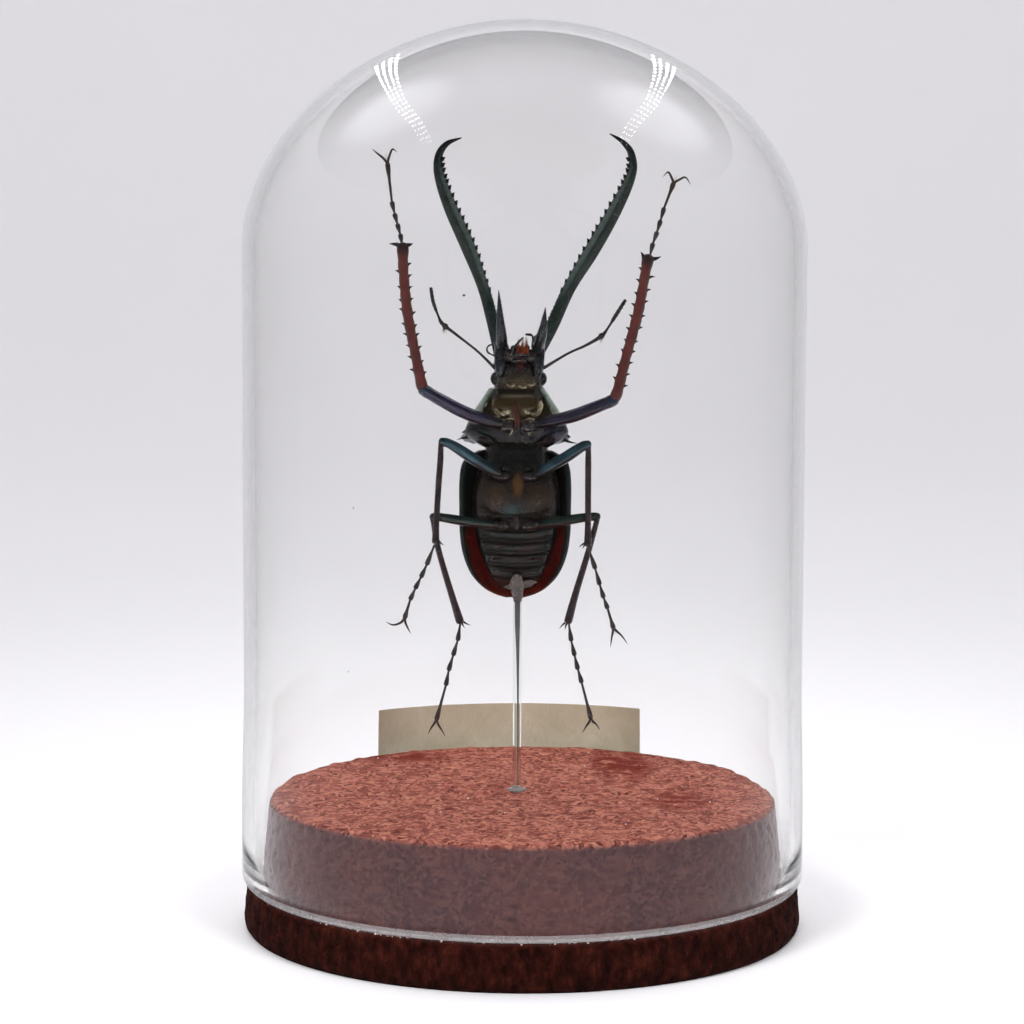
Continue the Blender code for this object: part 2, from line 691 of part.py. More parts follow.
LEGS = {
    "front_left": {
        "thigh": (
            (-2.9, -2.6, 90.4, 0.85),
            (-6.0, -3.5, 90.9, 1.0),
            (-10.4, -4.4, 92.5, 1.15),
            (-14.9, -5.1, 94.9, 1.15),
            (-17.8, -5.3, 96.5, 1.05),
        ),
        "shin": ((-19.1, -5.6, 102.7, 0.9), (-20.5, -6.0, 110.2, 0.92),
                 (-21.2, -6.2, 117.9, 0.88), (-21.3, -6.3, 121.6, 1.1)),
        "foot": ((-21.6, -6.2, 122.9), (-22.1, -6.1, 125.0), (-22.7, -6.0, 127.1),
                 (-23.1, -6.0, 128.8), (-24.0, -5.6, 136.2)),
        "claws": (((-25.3, -5.8, 137.4), (-26.1, -6.2, 138.1)),
                  ((-23.2, -5.9, 138.0), (-22.5, -6.4, 137.7))),
        "spurs": ((-23.4, -6.3, 122.0), (-19.7, -6.3, 122.0)),
    },
    "front_right": {
        "thigh": (
            (0.9, -2.6, 90.4, 0.85),
            (4.3, -3.5, 90.9, 1.0),
            (8.7, -4.4, 92.0, 1.15),
            (13.0, -5.1, 93.7, 1.15),
            (15.9, -5.3, 94.8, 1.05),
        ),
        "shin": ((18.0, -5.6, 102.7, 0.9), (19.9, -5.9, 110.0, 0.92),
                 (21.1, -6.2, 116.8, 0.88), (21.6, -6.3, 119.7, 1.1)),
        "foot": ((22.3, -6.2, 122.0), (23.1, -6.1, 124.1), (23.7, -6.0, 126.2),
                 (24.3, -5.9, 128.4), (26.0, -5.6, 132.9)),
        "claws": (((25.1, -5.8, 134.5), (24.3, -6.4, 134.0)),
                  ((28.0, -6.0, 133.7), (28.8, -6.4, 132.6))),
        "spurs": ((20.4, -6.3, 120.2), (23.7, -6.3, 119.6)),
    },
    "middle_left": {
        "thigh": (
            (-3.6, -3.0, 81.3, 0.7),
            (-5.6, -3.3, 82.2, 0.93),
            (-9.8, -4.4, 84.9, 1.0),
            (-13.0, -5.3, 87.0, 0.85),
            (-14.5, -5.6, 87.5, 0.65),
        ),
        "shin": ((-14.7, -5.8, 84.1, 0.54), (-15.0, -6.0, 79.9, 0.54),
                 (-15.4, -6.4, 72.5, 0.54), (-15.5, -6.5, 69.9, 0.7)),
        "foot": ((-17.0, -6.6, 65.5), (-18.0, -6.6, 63.6), (-19.0, -6.7, 61.6),
                 (-19.9, -6.7, 59.6), (-20.9, -6.8, 56.3)),
        "claws": (((-22.6, -7.0, 55.0), (-24.0, -7.6, 55.4)),
                  ((-20.6, -7.0, 54.5), (-19.9, -7.4, 53.7))),
        "spurs": ((-14.1, -6.9, 69.5), (-14.9, -7.6, 69.2)),
    },
    "middle_right": {
        "thigh": (
            (1.0, -3.0, 81.3, 0.7),
            (3.3, -3.3, 82.1, 0.93),
            (7.2, -4.4, 84.5, 1.0),
            (10.3, -5.3, 86.6, 0.9),
            (11.4, -5.6, 87.1, 0.65),
        ),
        "shin": ((11.4, -5.8, 83.9, 0.54), (11.4, -6.0, 80.0, 0.54),
                 (11.4, -6.4, 72.6, 0.54), (11.4, -6.5, 69.5, 0.7)),
        "foot": ((12.7, -6.6, 65.2), (13.5, -6.6, 62.4), (14.2, -6.7, 60.1),
                 (14.9, -6.7, 58.2), (16.0, -6.8, 54.6)),
        "claws": (((15.8, -7.0, 52.9), (15.6, -7.4, 51.5)),
                  ((17.4, -7.0, 53.2), (18.4, -7.4, 52.0))),
        "spurs": ((9.9, -6.9, 69.1), (10.9, -7.6, 68.8)),
    },
    "hind_left": {
        "thigh": (
            (-3.4, -2.6, 72.3, 0.6),
            (-6.7, -2.7, 72.6, 0.72),
            (-10.8, -2.7, 73.1, 0.86),
            (-14.5, -2.8, 73.7, 0.78),
            (-16.2, -2.8, 73.8, 0.65),
        ),
        "shin": ((-15.5, -2.9, 69.6, 0.52), (-14.5, -3.0, 65.7, 0.54),
                 (-12.4, -3.3, 58.8, 0.62), (-11.3, -3.4, 55.3, 0.8)),
        "foot": ((-11.6, -3.5, 51.9), (-12.4, -3.5, 49.2), (-13.2, -3.6, 46.5),
                 (-13.7, -3.7, 43.8), (-15.4, -3.8, 37.5)),
        "claws": (((-16.2, -4.0, 36.6), (-16.8, -4.4, 35.7)),
                  ((-14.7, -4.0, 36.0), (-13.9, -4.4, 35.1))),
        "spurs": ((-9.5, -3.4, 54.6), (-10.6, -4.6, 54.3)),
    },
    "hind_right": {
        "thigh": (
            (0.8, -2.6, 72.3, 0.6),
            (4.0, -2.7, 72.7, 0.72),
            (7.8, -2.7, 73.3, 0.86),
            (11.5, -2.8, 73.9, 0.78),
            (13.2, -2.8, 74.0, 0.65),
        ),
        "shin": ((12.3, -2.9, 70.3, 0.52), (11.3, -3.0, 66.7, 0.54),
                 (9.3, -3.3, 60.0, 0.62), (8.1, -3.4, 55.4, 0.8)),
        "foot": ((8.6, -3.5, 51.9), (9.2, -3.5, 49.3), (9.8, -3.6, 46.8),
                 (10.5, -3.7, 44.4), (12.2, -3.8, 37.9)),
        "claws": (((11.5, -4.0, 36.7), (10.8, -4.4, 35.7)),
                  ((13.0, -4.0, 37.1), (13.7, -4.4, 36.2))),
        "spurs": ((6.6, -3.4, 54.3), (7.4, -4.6, 54.0)),
    },
}
THIGH_STEPS = 7
FRONT_SHIN_STEPS = 19
SHIN_STEPS = 8
SPINE_LENGTH = 0.6
SPINE_LEAN = 0.3
JOINT_GAP = 0.15
KNEE_ROOM = 0.22
KNEE_CAP = 0.4
KNEE_CAP_SHARE = 0.5
SHIN_ROOT = 0.45
FRONT_SHIN_ROOT = 0.62
ANKLE_ROOM = 0.1
JOINT_NARROW = 0.26
JOINT_WIDE = 0.4
# Places along a foot joint, as a share of its length, with the half width there
JOINT_STATIONS = ((0.0, JOINT_NARROW), (0.8, JOINT_WIDE))
CLAW_JOINT_STATIONS = ((0.0, JOINT_NARROW), (0.55, JOINT_NARROW), (0.9, 0.5), (1.0, 0.42))
CLAW_SIZES = (0.24, 0.08)


def step_from(point, radius, target):
    """The place where the next joint starts, just clear of the round end of this one."""
    start = Vector(point[:3])
    return start + (Vector(target[:3]) - start).normalized() * (radius + JOINT_GAP)


def thigh_shape(layout):
    route = spline(layout["thigh"], THIGH_STEPS)
    end = Vector(route[-1][:3])
    forward, _ = directions(route)[-1]
    cap = end + forward * KNEE_CAP
    return limb(route + [(*cap, KNEE_CAP_SHARE * route[-1][3])])


def shin_shape(layout, spiny):
    knee = layout["thigh"][-1]
    start = step_from(knee, knee[3] + KNEE_ROOM, layout["shin"][0])
    steps = FRONT_SHIN_STEPS if spiny else SHIN_STEPS
    root = FRONT_SHIN_ROOT if spiny else SHIN_ROOT
    route = spline([(*start, root)] + list(layout["shin"]), steps)
    shin = limb(route)
    tips = [Vector(tip) for tip in layout["spurs"]]
    if spiny:
        ways = directions(route)
        for i in range(2, steps - 2):
            x, y, z, half_width = (0.5 * (a + b) for a, b in zip(route[i], route[i + 1]))
            forward, across = ways[i]
            side = 1.0 if i % 2 else -1.0
            reach = across * (side * (half_width + SPINE_LENGTH))
            tips.append(Vector((x, y, z)) + reach + forward * (SPINE_LEAN * SPINE_LENGTH))
    pull_spines(shin, tips)
    return shin


def foot_shape(layout):
    """Five joints, each narrow at its root and wide near its end, and two hooked claws."""
    ankle = layout["shin"][-1]
    joints = [step_from(ankle, ANKLE_ROOM, layout["foot"][0])]
    joints += [Vector(point) for point in layout["foot"]]
    route = []
    for i, (here, there) in enumerate(zip(joints, joints[1:])):
        last = i == len(joints) - 2
        stations = CLAW_JOINT_STATIONS if last else JOINT_STATIONS
        route += [(*here.lerp(there, share), width) for share, width in stations]
    foot = limb(route)
    foot.verts.ensure_lookup_table()
    end_ring = foot.verts[-LEG_SIDES:]
    cap = next(f for f in foot.faces if set(f.verts) == set(end_ring))
    halves = bmesh.utils.face_split(cap, end_ring[1], end_ring[4])
    faces = sorted((halves[0], cap), key=lambda f: f.calc_center_median().x)
    claws = sorted(layout["claws"], key=lambda claw: claw[-1][0])
    for face, claw in zip(faces, claws):
        draw_out(foot, face, [(*point, size) for point, size in zip(claw, CLAW_SIZES)])
    return foot


def build_legs(materials):
    for name, layout in LEGS.items():
        front = name.startswith("front")
        thigh_look = "violet" if front else "green"
        shin_look = "red_leg" if front else "dark_leg"
        add_piece(f"{name}_femur", thigh_shape(layout), materials[thigh_look])
        add_piece(f"{name}_tibia", shin_shape(layout, front), materials[shin_look])
        add_piece(f"{name}_tarsus", foot_shape(layout), materials["dark_leg"])


def main():
    clear_scene()
    materials = make_materials()
    build_stand(materials)
    build_dome(materials)
    build_rod(materials)
    build_label(materials)
    build_body(materials)
    build_belly_glue(materials)
    build_mouth(materials)
    build_legs(materials)


main()
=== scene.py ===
"""Looks of a stag beetle held upright on a clear rod, on a cork stand under a glass dome.

Lengths are millimetres until a mesh is made. The beetle's belly faces -Y, and left is -X.
"""
import math
import random

import bmesh
import bpy
import numpy as np
from mathutils import Matrix, Vector, noise


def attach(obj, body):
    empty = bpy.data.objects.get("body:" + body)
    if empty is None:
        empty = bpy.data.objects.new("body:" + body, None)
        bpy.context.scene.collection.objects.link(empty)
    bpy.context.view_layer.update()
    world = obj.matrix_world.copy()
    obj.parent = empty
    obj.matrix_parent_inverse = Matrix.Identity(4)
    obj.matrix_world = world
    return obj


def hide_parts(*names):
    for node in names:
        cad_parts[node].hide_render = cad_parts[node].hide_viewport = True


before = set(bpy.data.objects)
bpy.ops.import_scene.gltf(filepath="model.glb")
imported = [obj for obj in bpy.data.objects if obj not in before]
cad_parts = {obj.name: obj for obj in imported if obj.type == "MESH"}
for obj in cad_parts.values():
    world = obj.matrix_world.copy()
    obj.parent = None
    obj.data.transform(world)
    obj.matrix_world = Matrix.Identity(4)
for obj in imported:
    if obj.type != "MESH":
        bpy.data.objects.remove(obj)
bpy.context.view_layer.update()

MM = 0.001
BELLY = np.array([0.0, -1.0, 0.0])
# Middle of the beetle's body, of its head and of the rod, and the depth where its sides are widest
BODY_X = -1.3
HEAD_X = -0.95
ROD_X = -1.0
MARGIN_Y = 3.0
ROD_RADIUS = 0.75
ROD_TOP = 62.3
STAND_TOP = 24.0
FLANGE_TOP = 8.0
DOME_RADIUS = 50.0
DOME_FLARE = 0.5
DOME_WALL = 2.2
DOME_SHOULDER = 121.5
CROWN_HEIGHT = 40.0
CROWN_FULLNESS = 1.9
LABEL_FROM, LABEL_TO = -35.2, 28.1
LABEL_FOOT, LABEL_HEIGHT = 20.55, 11.0
# The camera's place in metres, and its turns in degrees
CAMERA_PLACE = (0.0, -0.4851, 0.12145)
CAMERA_TURN, CAMERA_DIP, CAMERA_ROLL = 0.242, 5.54, 0.217
CAMERA_LENS = 95.64
TIP_BLACK = (0.004, 0.004, 0.005)
# Rings that a route's round end is made of
ROUND_STEPS = 5
chance = random.Random(7)


# Making meshes


class Shape:
    """Points in millimetres, faces with a look number, and two masks per point."""

    def __init__(self):
        self.points = []
        self.tips = []
        self.tones = []
        self.faces = []
        self.kinds = []
        self.count = 0

    def add(self, points, faces, kind=0, tip=0.0, tone=0.0):
        points = np.asarray(points, float).reshape(-1, 3)
        self.points.append(points)
        for store, value in ((self.tips, tip), (self.tones, tone)):
            store.append(np.broadcast_to(np.asarray(value, float).ravel(), len(points)))
        self.faces += [[i + self.count for i in face] for face in faces]
        self.kinds += [kind] * len(faces)
        self.count += len(points)

    def loft(self, rings, kind=0, tip=0.0, tone=0.0, caps=True):
        """Skin rings of points (rings, sides, 3)."""
        rings = np.asarray(rings, float)
        rows, sides = rings.shape[:2]
        faces = []
        for i in range(rows - 1):
            for j in range(sides):
                k = (j + 1) % sides
                a, b = i * sides, (i + 1) * sides
                faces.append((a + j, a + k, b + k, b + j))
        if caps:
            faces.append(tuple(range(sides))[::-1])
            faces.append(tuple(range((rows - 1) * sides, rows * sides)))
        masks = []
        for mask in (tip, tone):
            mask = np.asarray(mask, float)
            masks.append(np.repeat(mask, sides) if mask.shape == (rows,) else mask)
        self.add(rings, faces, kind, masks[0], masks[1])

    def make(self, name, looks, nodes=(), smooth=45.0):
        mesh = bpy.data.meshes.new(name)
        mesh.from_pydata((np.concatenate(self.points) * MM).tolist(), [], self.faces)
        for label, values in (("tip", self.tips), ("tone", self.tones)):
            layer = mesh.attributes.new(label, "FLOAT", "POINT")
            layer.data.foreach_set("value", np.concatenate(values).astype(np.float32))
        mesh.polygons.foreach_set("material_index", self.kinds)
        for look in looks:
            mesh.materials.append(look)
        skin = bmesh.new()
        skin.from_mesh(mesh)
        bmesh.ops.recalc_face_normals(skin, faces=skin.faces)
        skin.to_mesh(mesh)
        skin.free()
        mesh.shade_smooth()
        if smooth:
            mesh.set_sharp_from_angle(angle=math.radians(smooth))
        mesh.update()
        piece = link(name, mesh)
        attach(piece, "root")
        if nodes:
            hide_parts(*nodes)
        return piece

    def cover(self, node, slot, looks, *names, smooth=60.0):
        """Make the skin that takes the place of one node of the part."""
        self.make(f"{node}_shell", [looks[name] for name in names], [node], smooth)


def around(count):
    """Even angles once round a circle."""
    return 2.0 * np.pi * np.arange(count) / count


def even(count):
    return np.linspace(0.0, 1.0, count)


def link(name, data):
    made = bpy.data.objects.new(name, data)
    bpy.context.scene.collection.objects.link(made)
    return made


def curve(points, count):
    """Even steps along a smooth curve through rows whose first three numbers are a place."""
    points = np.array(points, float)
    steps = np.linalg.norm(np.diff(points[:, :3], axis=0), axis=1)
    lengths = np.r_[0.0, np.cumsum(steps)]
    order = np.arange(len(points))
    low, high = np.maximum(order - 1, 0), np.minimum(order + 1, len(points) - 1)
    slopes = (points[high] - points[low]) / (lengths[high] - lengths[low])[:, None]
    travel = np.linspace(0.0, lengths[-1], count)
    span = np.clip(np.searchsorted(lengths, travel, side="right") - 1, 0, len(points) - 2)
    width = (lengths[span + 1] - lengths[span])[:, None]
    t = (travel - lengths[span])[:, None] / width
    return (
        (2 * t**3 - 3 * t**2 + 1) * points[span]
        + (t**3 - 2 * t**2 + t) * width * slopes[span]
        + (3 * t**2 - 2 * t**3) * points[span + 1]
        + (t**3 - t**2) * width * slopes[span + 1]
    )


def frames(places):
    """The ways forward, across and towards the belly side at each place."""
    forward = np.gradient(places, axis=0)
    forward /= np.linalg.norm(forward, axis=1)[:, None]
    across = np.cross(forward, BELLY)
    across /= np.linalg.norm(across, axis=1)[:, None]
    return forward, across, np.cross(across, forward)


def rounded(route):
    """A route of (x, y, z, half width) with round ends added."""
    forward = frames(route[:, :3])[0]
    turns = np.radians(np.linspace(0.0, 86.0, ROUND_STEPS + 1)[1:])
    ends = []
    for i, sign in ((0, -1.0), (-1, 1.0)):
        width = route[i, 3]
        ends.append(np.array([
            np.r_[route[i, :3] + sign * forward[i] * width * 0.8 * math.sin(a), width * math.cos(a)]
            for a in turns
        ]))
    return np.concatenate([ends[0][::-1], route, ends[1]])


def tube_rings(route, sides=24, depth=0.85, across_shape=None, deep_shape=None):
    """Oval rings along a route; the shapes give the offset across and to the belly side."""
    _, across, deep = frames(route[:, :3])
    angles = around(sides)
    u = np.cos(angles) if across_shape is None else across_shape
    v = depth * np.sin(angles) if deep_shape is None else deep_shape
    width = route[:, 3][:, None, None]
    return (
        route[:, None, :3]
        + across[:, None, :] * width * np.broadcast_to(u, (len(route), sides))[..., None]
        + deep[:, None, :] * width * np.broadcast_to(v, (len(route), sides))[..., None]
    )


def ball(shape, centre, size, kind=0, rows=12, sides=18, tone=0.0):
    """A closed ellipsoid."""
    angles = around(sides)
    rings = []
    for a in np.radians(np.linspace(-88.0, 88.0, rows)):
        rings.append(np.stack([
            np.cos(angles) * math.cos(a),
            np.sin(angles) * math.cos(a),
            np.full(sides, math.sin(a)),
        ], axis=1))
    shape.loft(np.array(rings) * np.array(size) + np.array(centre), kind, tone=tone)


def spike(shape, root, tip, width, kind=0, sides=6, bend=0.0, rows=5, black=1.0):
    """A thin cone from root to tip that bends a little."""
    root, tip = np.array(root, float), np.array(tip, float)
    way = tip - root
    side = np.cross(way, BELLY)
    side = side / (np.linalg.norm(side) or 1.0) * np.linalg.norm(way) * bend
    t = even(rows)[:, None]
    places = root + way * t + side * (t * (1.0 - t) * 4.0)
    widths = width * (1.0 - 0.93 * t**1.3)
    rings = tube_rings(np.hstack([places, widths]), sides, 1.0)
    shape.loft(rings, kind, tip=np.full(rows, black))


def hair(shape, root, tip, width, black, rows=3, bend=0.0):
    """A thin spike in the shape's second look."""
    spike(shape, root, tip, width, 1, 4, bend, rows, black)


def over_ends(values):
    """Values along a route, carried on over its round ends."""
    return np.r_[np.zeros(ROUND_STEPS), values, np.full(ROUND_STEPS, values[-1])]


def steps_between(x, low, high):
    t = np.clip((x - low) / (high - low), 0.0, 1.0)
    return t * t * (3.0 - 2.0 * t)


def hump(x, z, place, size, power=2.0):
    reach = ((x - place[0]) / size[0]) ** 2 + ((z - place[1]) / size[1]) ** 2
    return np.exp(-(reach ** (power / 2.0)))


def bell(x, middle, width):
    return np.exp(-(((x - middle) / width) ** 2))


def relief(x, z, *humps):
    """Humps on both sides of the middle, from (height, across, up, half width, half height) rows."""
    side = np.abs(x)
    return sum(rise * hump(side, z, (across, up), (wide, tall)) for rise, across, up, wide, tall in humps)


def rough(points, scale, seed=0.0):
    """Smooth noise at each point, from -1 to 1."""
    return np.array([
        noise.noise(Vector((p[0] * scale + seed, p[1] * scale, p[2] * scale))) for p in points
    ])


# Making materials


class Look:
    """A Principled material built from nodes, in the object's own coordinates."""

    def __init__(self, name, **values):
        self.material = bpy.data.materials.new(name)
        self.material.use_nodes = True
        self.tree = self.material.node_tree
        self.shader = self.tree.nodes["Principled BSDF"]
        self.place = self.add("TexCoord").outputs["Object"]
        self.set(**values)

    def add(self, kind, inputs=None, **settings):
        made = self.tree.nodes.new("ShaderNode" + kind)
        for key, value in settings.items():
            setattr(made, key, value)
        for key, value in (inputs or {}).items():
            if isinstance(value, bpy.types.NodeSocket):
                self.tree.links.new(value, made.inputs[key])
            else:
                made.inputs[key].default_value = value
        return made

    def set(self, **values):
        for key, value in values.items():
            socket = self.shader.inputs[key.replace("_", " ")]
            if isinstance(value, bpy.types.NodeSocket):
                self.tree.links.new(value, socket)
            elif socket.type == "RGBA":
                socket.default_value = (*value, 1.0)
            else:
                socket.default_value = value

    def stretched(self, x, y, z):
        return self.add("Mapping", {"Vector": self.place, "Scale": (x, y, z)}).outputs[0]

    def noise(self, per_mm, detail=3.0, rough=0.55, warp=0.0, place=None):
        made = self.add("TexNoise", {
            "Vector": place or self.place, "Scale": per_mm * 1000.0, "Detail": detail,
            "Roughness": rough, "Distortion": warp,
        })
        return made.outputs["Fac"]

    def cells(self, per_mm, output, place, feature="F1"):
        made = self.add("TexVoronoi", {"Vector": place, "Scale": per_mm * 1000.0}, feature=feature)
        return made.outputs[output]

    def ramp(self, factor, *stops):
        made = self.add("ValToRGB", {"Fac": factor})
        ramp = made.color_ramp
        while len(ramp.elements) < len(stops):
            ramp.elements.new(0.5)
        for element, (position, colour) in zip(ramp.elements, stops):
            element.position = position
            element.color = (*colour, 1.0) if isinstance(colour, tuple) else (colour,) * 3 + (1.0,)
        return made.outputs["Color"]

    def mix(self, factor, a, b):
        made = self.add("Mix", data_type="RGBA", blend_type="MIX")
        for socket, value in ((0, factor), (6, a), (7, b)):
            if isinstance(value, bpy.types.NodeSocket):
                self.tree.links.new(value, made.inputs[socket])
            elif socket == 0:
                made.inputs[socket].default_value = value
            else:
                made.inputs[socket].default_value = (*value, 1.0)
        return made.outputs[2]

    def math(self, operation, a, b):
        return self.add("Math", {0: a, 1: b}, operation=operation).outputs[0]

    def height(self):
        return self.add("SeparateXYZ", {0: self.place}).outputs["Z"]

    def range(self, value, low, high, to_low=0.0, to_high=1.0):
        made = self.add("MapRange", {
            "Value": value, "From Min": low, "From Max": high, "To Min": to_low, "To Max": to_high,
        }, interpolation_type="SMOOTHSTEP")
        return made.outputs[0]

    def mask(self, name):
        return self.add("Attribute", attribute_name=name).outputs["Fac"]

    def spot(self, centre, size, edge=0.6):
        """One inside an ellipsoid of those half sizes, fading to nothing at its edge."""
        middle = tuple(c * MM for c in centre)
        share = tuple(1.0 / (s * MM) for s in size)
        shift = self.add("VectorMath", {0: self.place, 1: middle}, operation="SUBTRACT")
        scale = self.add("VectorMath", {0: shift.outputs[0], 1: share}, operation="MULTIPLY")
        length = self.add("VectorMath", {0: scale.outputs[0]}, operation="LENGTH")
        return self.range(length.outputs["Value"], 1.0 - edge, 1.0, 1.0, 0.0)

    def tint(self, factor, colour):
        """Blend a colour over what the look has so far."""
        self.colour = self.mix(factor, self.colour, colour)

    def patches(self, *rows):
        """Tints inside ellipsoids: centre, half sizes, edge and colour."""
        for centre, size, edge, colour in rows:
            self.tint(self.spot(centre, size, edge), colour)

    def finish(self):
        """The colour so far, black where the tip mask says so."""
        self.set(Base_Color=self.mix(self.mask("tip"), self.colour, TIP_BLACK))
        return self

    def bump(self, height, strength=0.3, depth_mm=0.05, under=None):
        inputs = {"Height": height, "Strength": strength, "Distance": depth_mm * MM}
        if under is not None:
            inputs["Normal"] = under
        return self.add("Bump", inputs).outputs[0]


def cuticle(name, dark, light, shine=0.24, metal=0.4, grain=7.0, coat=0.5):
    """Hard beetle skin: mottled colour, fine pits, black where the tip mask says so."""
    look = Look(name, Metallic=metal, Coat_Weight=coat, Coat_Roughness=0.07, IOR=1.45)
    patches = look.noise(0.5, 4.0, 0.6, 0.4)
    fine = look.noise(3.2, 3.0, 0.6)
    colour = look.ramp(patches, (0.34, dark), (0.68, light))
    colour = look.mix(look.range(fine, 0.35, 0.75, 0.0, 0.6), colour, dark)
    look.colour = colour
    look.finish()
    pits = look.range(look.noise(grain, 2.0, 0.5), 0.3, 0.42)
    height = look.math("ADD", look.math("MULTIPLY", pits, 0.2), look.noise(2.0, 2.0, 0.5))
    waves = look.bump(look.noise(0.6, 1.0, 0.3), 0.22, 0.2)
    look.set(
        Roughness=look.range(fine, 0.2, 0.8, shine - 0.07, shine + 0.12),
        Normal=look.bump(height, 0.04, 0.03, waves),
    )
    return look


def speckled(name, per_mm, dark, light, **values):
    """A plain look that wanders between two colours."""
    look = Look(name, **values)
    look.set(Base_Color=look.ramp(look.noise(per_mm), (0.3, dark), (0.7, light)))
    return look


# Key, name, dark and light colour, roughness, metal, grain per mm and coat
SKINS = (
    ("prong", "prong_blue", (0.002, 0.003, 0.004), (0.012, 0.02, 0.026), 0.2, 0.6, 7.0, 0.6),
    ("eye", "eye_black", (0.006, 0.007, 0.008), (0.016, 0.02, 0.02), 0.08, 0.0, 12.0, 1.0),
    ("lid", "eye_rim", (0.03, 0.035, 0.028), (0.09, 0.10, 0.085), 0.25, 0.6),
    # the gold curls: metallic gold whose light colour is raised into a painted highlight
    ("gold", "gold_ridge_painted_glint", (0.10, 0.075, 0.03), (0.85, 0.74, 0.5), 0.22, 0.8),
    ("teal", "thigh_teal", (0.005, 0.014, 0.02), (0.04, 0.12, 0.155), 0.16, 0.75, 7.0, 0.8),
    ("leaf", "thigh_green", (0.005, 0.010, 0.008), (0.016, 0.04, 0.03), 0.18, 0.6, 7.0, 0.8),
    ("brick", "shin_brick", (0.05, 0.009, 0.007), (0.115, 0.024, 0.017), 0.4, 0.0, 5.0, 0.25),
    ("umber", "shin_umber", (0.014, 0.008, 0.009), (0.04, 0.02, 0.022), 0.28, 0.2),
    ("foot", "foot_brown", (0.014, 0.011, 0.011), (0.045, 0.036, 0.035), 0.34, 0.1),
    ("claw", "claw_brown", (0.016, 0.010, 0.009), (0.045, 0.026, 0.021), 0.28, 0.0),
    ("joint", "joint_membrane", (0.16, 0.13, 0.11), (0.3, 0.25, 0.22), 0.5, 0.0),
    ("feeler", "feeler_brown", (0.007, 0.005, 0.005), (0.02, 0.012, 0.01), 0.26, 0.0),
)


def jaw_look():
    look = cuticle("jaw_green", (0.005, 0.012, 0.008), (0.015, 0.03, 0.022), 0.22, 0.4, coat=0.25)
    look.set(Specular_IOR_Level=0.3)
    # painted light: the inner slope of the jaw gets a paler grey-teal, where that facet faces the light
    strip = look.mix(look.noise(0.6), (0.045, 0.062, 0.056), (0.085, 0.11, 0.10))
    look.tint(look.mask("tone"), strip)
    look.patches(((BODY_X, 0.0, 102.0), (9.0, 12.0, 12.0), 0.9, (0.006, 0.008, 0.014)))
    return look.finish()


def head_look():
    look = cuticle("head_bronze", (0.01, 0.007, 0.004), (0.034, 0.023, 0.011), 0.22, 0.5)
    look.patches(
        ((HEAD_X, -1.0, 97.4), (4.4, 4.0, 1.9), 0.7, (0.05, 0.036, 0.015)),
        ((HEAD_X, -1.0, 101.6), (7.0, 8.0, 2.6), 0.5, (0.006, 0.005, 0.006)),
        ((HEAD_X + 0.3, -1.0, 101.2), (1.3, 4.0, 2.0), 0.8, (0.05, 0.014, 0.008)),
    )
    return look.finish()


def thorax_look():
    look = cuticle("thorax_bronze", (0.008, 0.006, 0.004), (0.03, 0.022, 0.012), 0.17, 0.7)
    look.patches(
        ((BODY_X, -1.2, 93.4), (6.4, 4.0, 2.9), 0.6, (0.065, 0.045, 0.016)),
        ((BODY_X, -1.9, 91.0), (0.9, 4.0, 4.4), 0.5, (0.07, 0.018, 0.01)),
    )
    # green where the tone mask says so: metallic green on the back, and on the front side margins a paler
    # green that is partly a painted reflection of the light they catch
    green = look.mix(look.noise(0.9, 2.0), (0.03, 0.06, 0.035), (0.28, 0.36, 0.28))
    look.tint(look.mask("tone"), green)
    look.patches(
        ((BODY_X - 7.0, 0.0, 88.3), (3.4, 5.0, 2.6), 0.6, (0.010, 0.016, 0.02)),
        ((BODY_X + 7.0, 0.0, 88.3), (3.4, 5.0, 2.6), 0.6, (0.014, 0.016, 0.03)),
        ((BODY_X, -1.0, 87.2), (5.6, 6.0, 3.4), 0.4, (0.004, 0.003, 0.003)),
    )
    return look.finish()


def belly_look():
    look = cuticle("belly_olive", (0.006, 0.004, 0.0025), (0.017, 0.011, 0.006), 0.22, 0.4, coat=0.3)
    look.set(Specular_IOR_Level=0.3)
    look.patches(
        ((BODY_X, -2.0, 83.6), (7.6, 6.0, 4.0), 0.5, (0.0035, 0.004, 0.003)),
        ((-5.2, -2.0, 77.3), (3.7, 5.0, 3.6), 0.75, (0.03, 0.017, 0.008)),
        ((3.1, -2.0, 77.3), (3.7, 5.0, 3.6), 0.75, (0.03, 0.017, 0.008)),
        ((BODY_X + 0.3, -2.0, 79.4), (1.5, 5.0, 3.2), 0.9, (0.085, 0.038, 0.01)),
        ((BODY_X - 0.7, -2.0, 75.0), (3.2, 5.0, 1.8), 0.95, (0.018, 0.034, 0.036)),
    )
    return look.finish()


